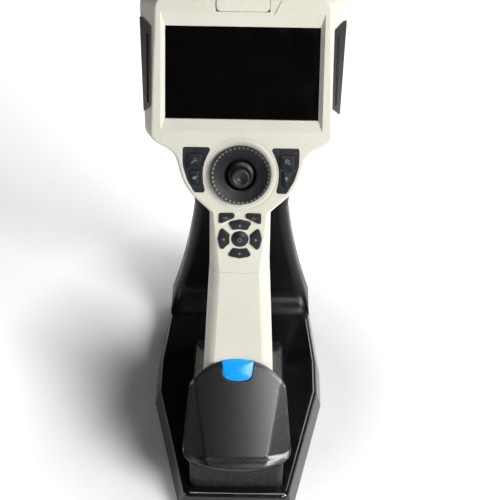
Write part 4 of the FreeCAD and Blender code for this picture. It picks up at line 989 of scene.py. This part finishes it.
def surround():
    """Pale room with a dark wall behind and above the object."""
    world = bpy.data.worlds.new("surround")
    bpy.context.scene.world = world
    world.use_nodes = True
    nodes, links = world.node_tree.nodes, world.node_tree.links
    towards = nodes.new("ShaderNodeVectorMath")
    towards.operation = "DOT_PRODUCT"
    towards.inputs[1].default_value = (0.0, 0.60, 0.80)
    links.new(nodes.new("ShaderNodeTexCoord").outputs["Generated"], towards.inputs[0])
    share = nodes.new("ShaderNodeMapRange")
    share.interpolation_type = "SMOOTHSTEP"
    share.inputs["From Min"].default_value = 0.15
    share.inputs["From Max"].default_value = 0.85
    share.inputs["To Min"].default_value = 0.07
    share.inputs["To Max"].default_value = 0.015
    links.new(towards.outputs["Value"], share.inputs["Value"])
    ground = nodes["Background"]
    ground.inputs["Color"].default_value = (0.97, 0.985, 1, 1)
    links.new(share.outputs["Result"], ground.inputs["Strength"])


def studio():
    surround()
    soft_light("key_light", (1.30, -0.98, 1.25), (0, -0.02, 0.2), (0.9, 0.9), 48, (1, 0.99, 0.97))
    soft_light("gleam_light", (0.33, -1.08, 0.74), (0, -0.1, 0.07), (0.28, 0.5), 0.22, spread=34)
    soft_light("edge_light", (-1.2, -0.5, 0.36), (0, -0.08, 0.09), (0.2, 0.5), 0.25, spread=60)
    soft_light("top_light", (0.26, -0.12, 1.45), (0.02, -0.13, 0.02), (0.56, 0.8), 4, spread=120)
    soft_light("back_light", (0.9, 1.3, 1.3), (0, 0, 0.2), (0.8, 0.8), 8, (1, 1, 1))
    floor = bmesh.new()
    corners = [(-6, -6), (6, -6), (6, 6), (-6, 6)]
    floor.faces.new([floor.verts.new((x, y, 0)) for x, y in corners])
    data = bpy.data.meshes.new("floor")
    floor.to_mesh(data)
    floor.free()
    surface = Surface("floor_paper", specular=0.2)
    surface.paint(surface.tint((0.86, 0.86, 0.86), (0.89, 0.89, 0.89), 300))
    surface.gloss(0.7, 0.8, 50)
    surface.grain((surface.noise(2.0, 3), 0.02))
    # Painted light: the floor glows, weakly within 0.10 m of the middle and fully beyond 0.24 m, which leaves a
    # painted shade round the object's foot.
    surface.shader.inputs["Emission Color"].default_value = (1, 1, 1, 1)
    away = surface.nodes.new("ShaderNodeVectorMath")
    away.operation = "LENGTH"
    surface.links.new(surface.place, away.inputs[0])
    surface.links.new(surface.ramp(away.outputs["Value"], 0.10, 0.24, 0.05, 0.6),
                      surface.shader.inputs["Emission Strength"])
    data.materials.append(surface.material)
    item = bpy.data.objects.new("floor", data)
    bpy.context.scene.collection.objects.link(item)
    bpy.context.scene.view_settings.view_transform = "Standard"


paint_cad_nodes()
stand_column()
battery_cover()
release_button()
keys()
lock_dial()
joystick()
collar()
studio()
camera()
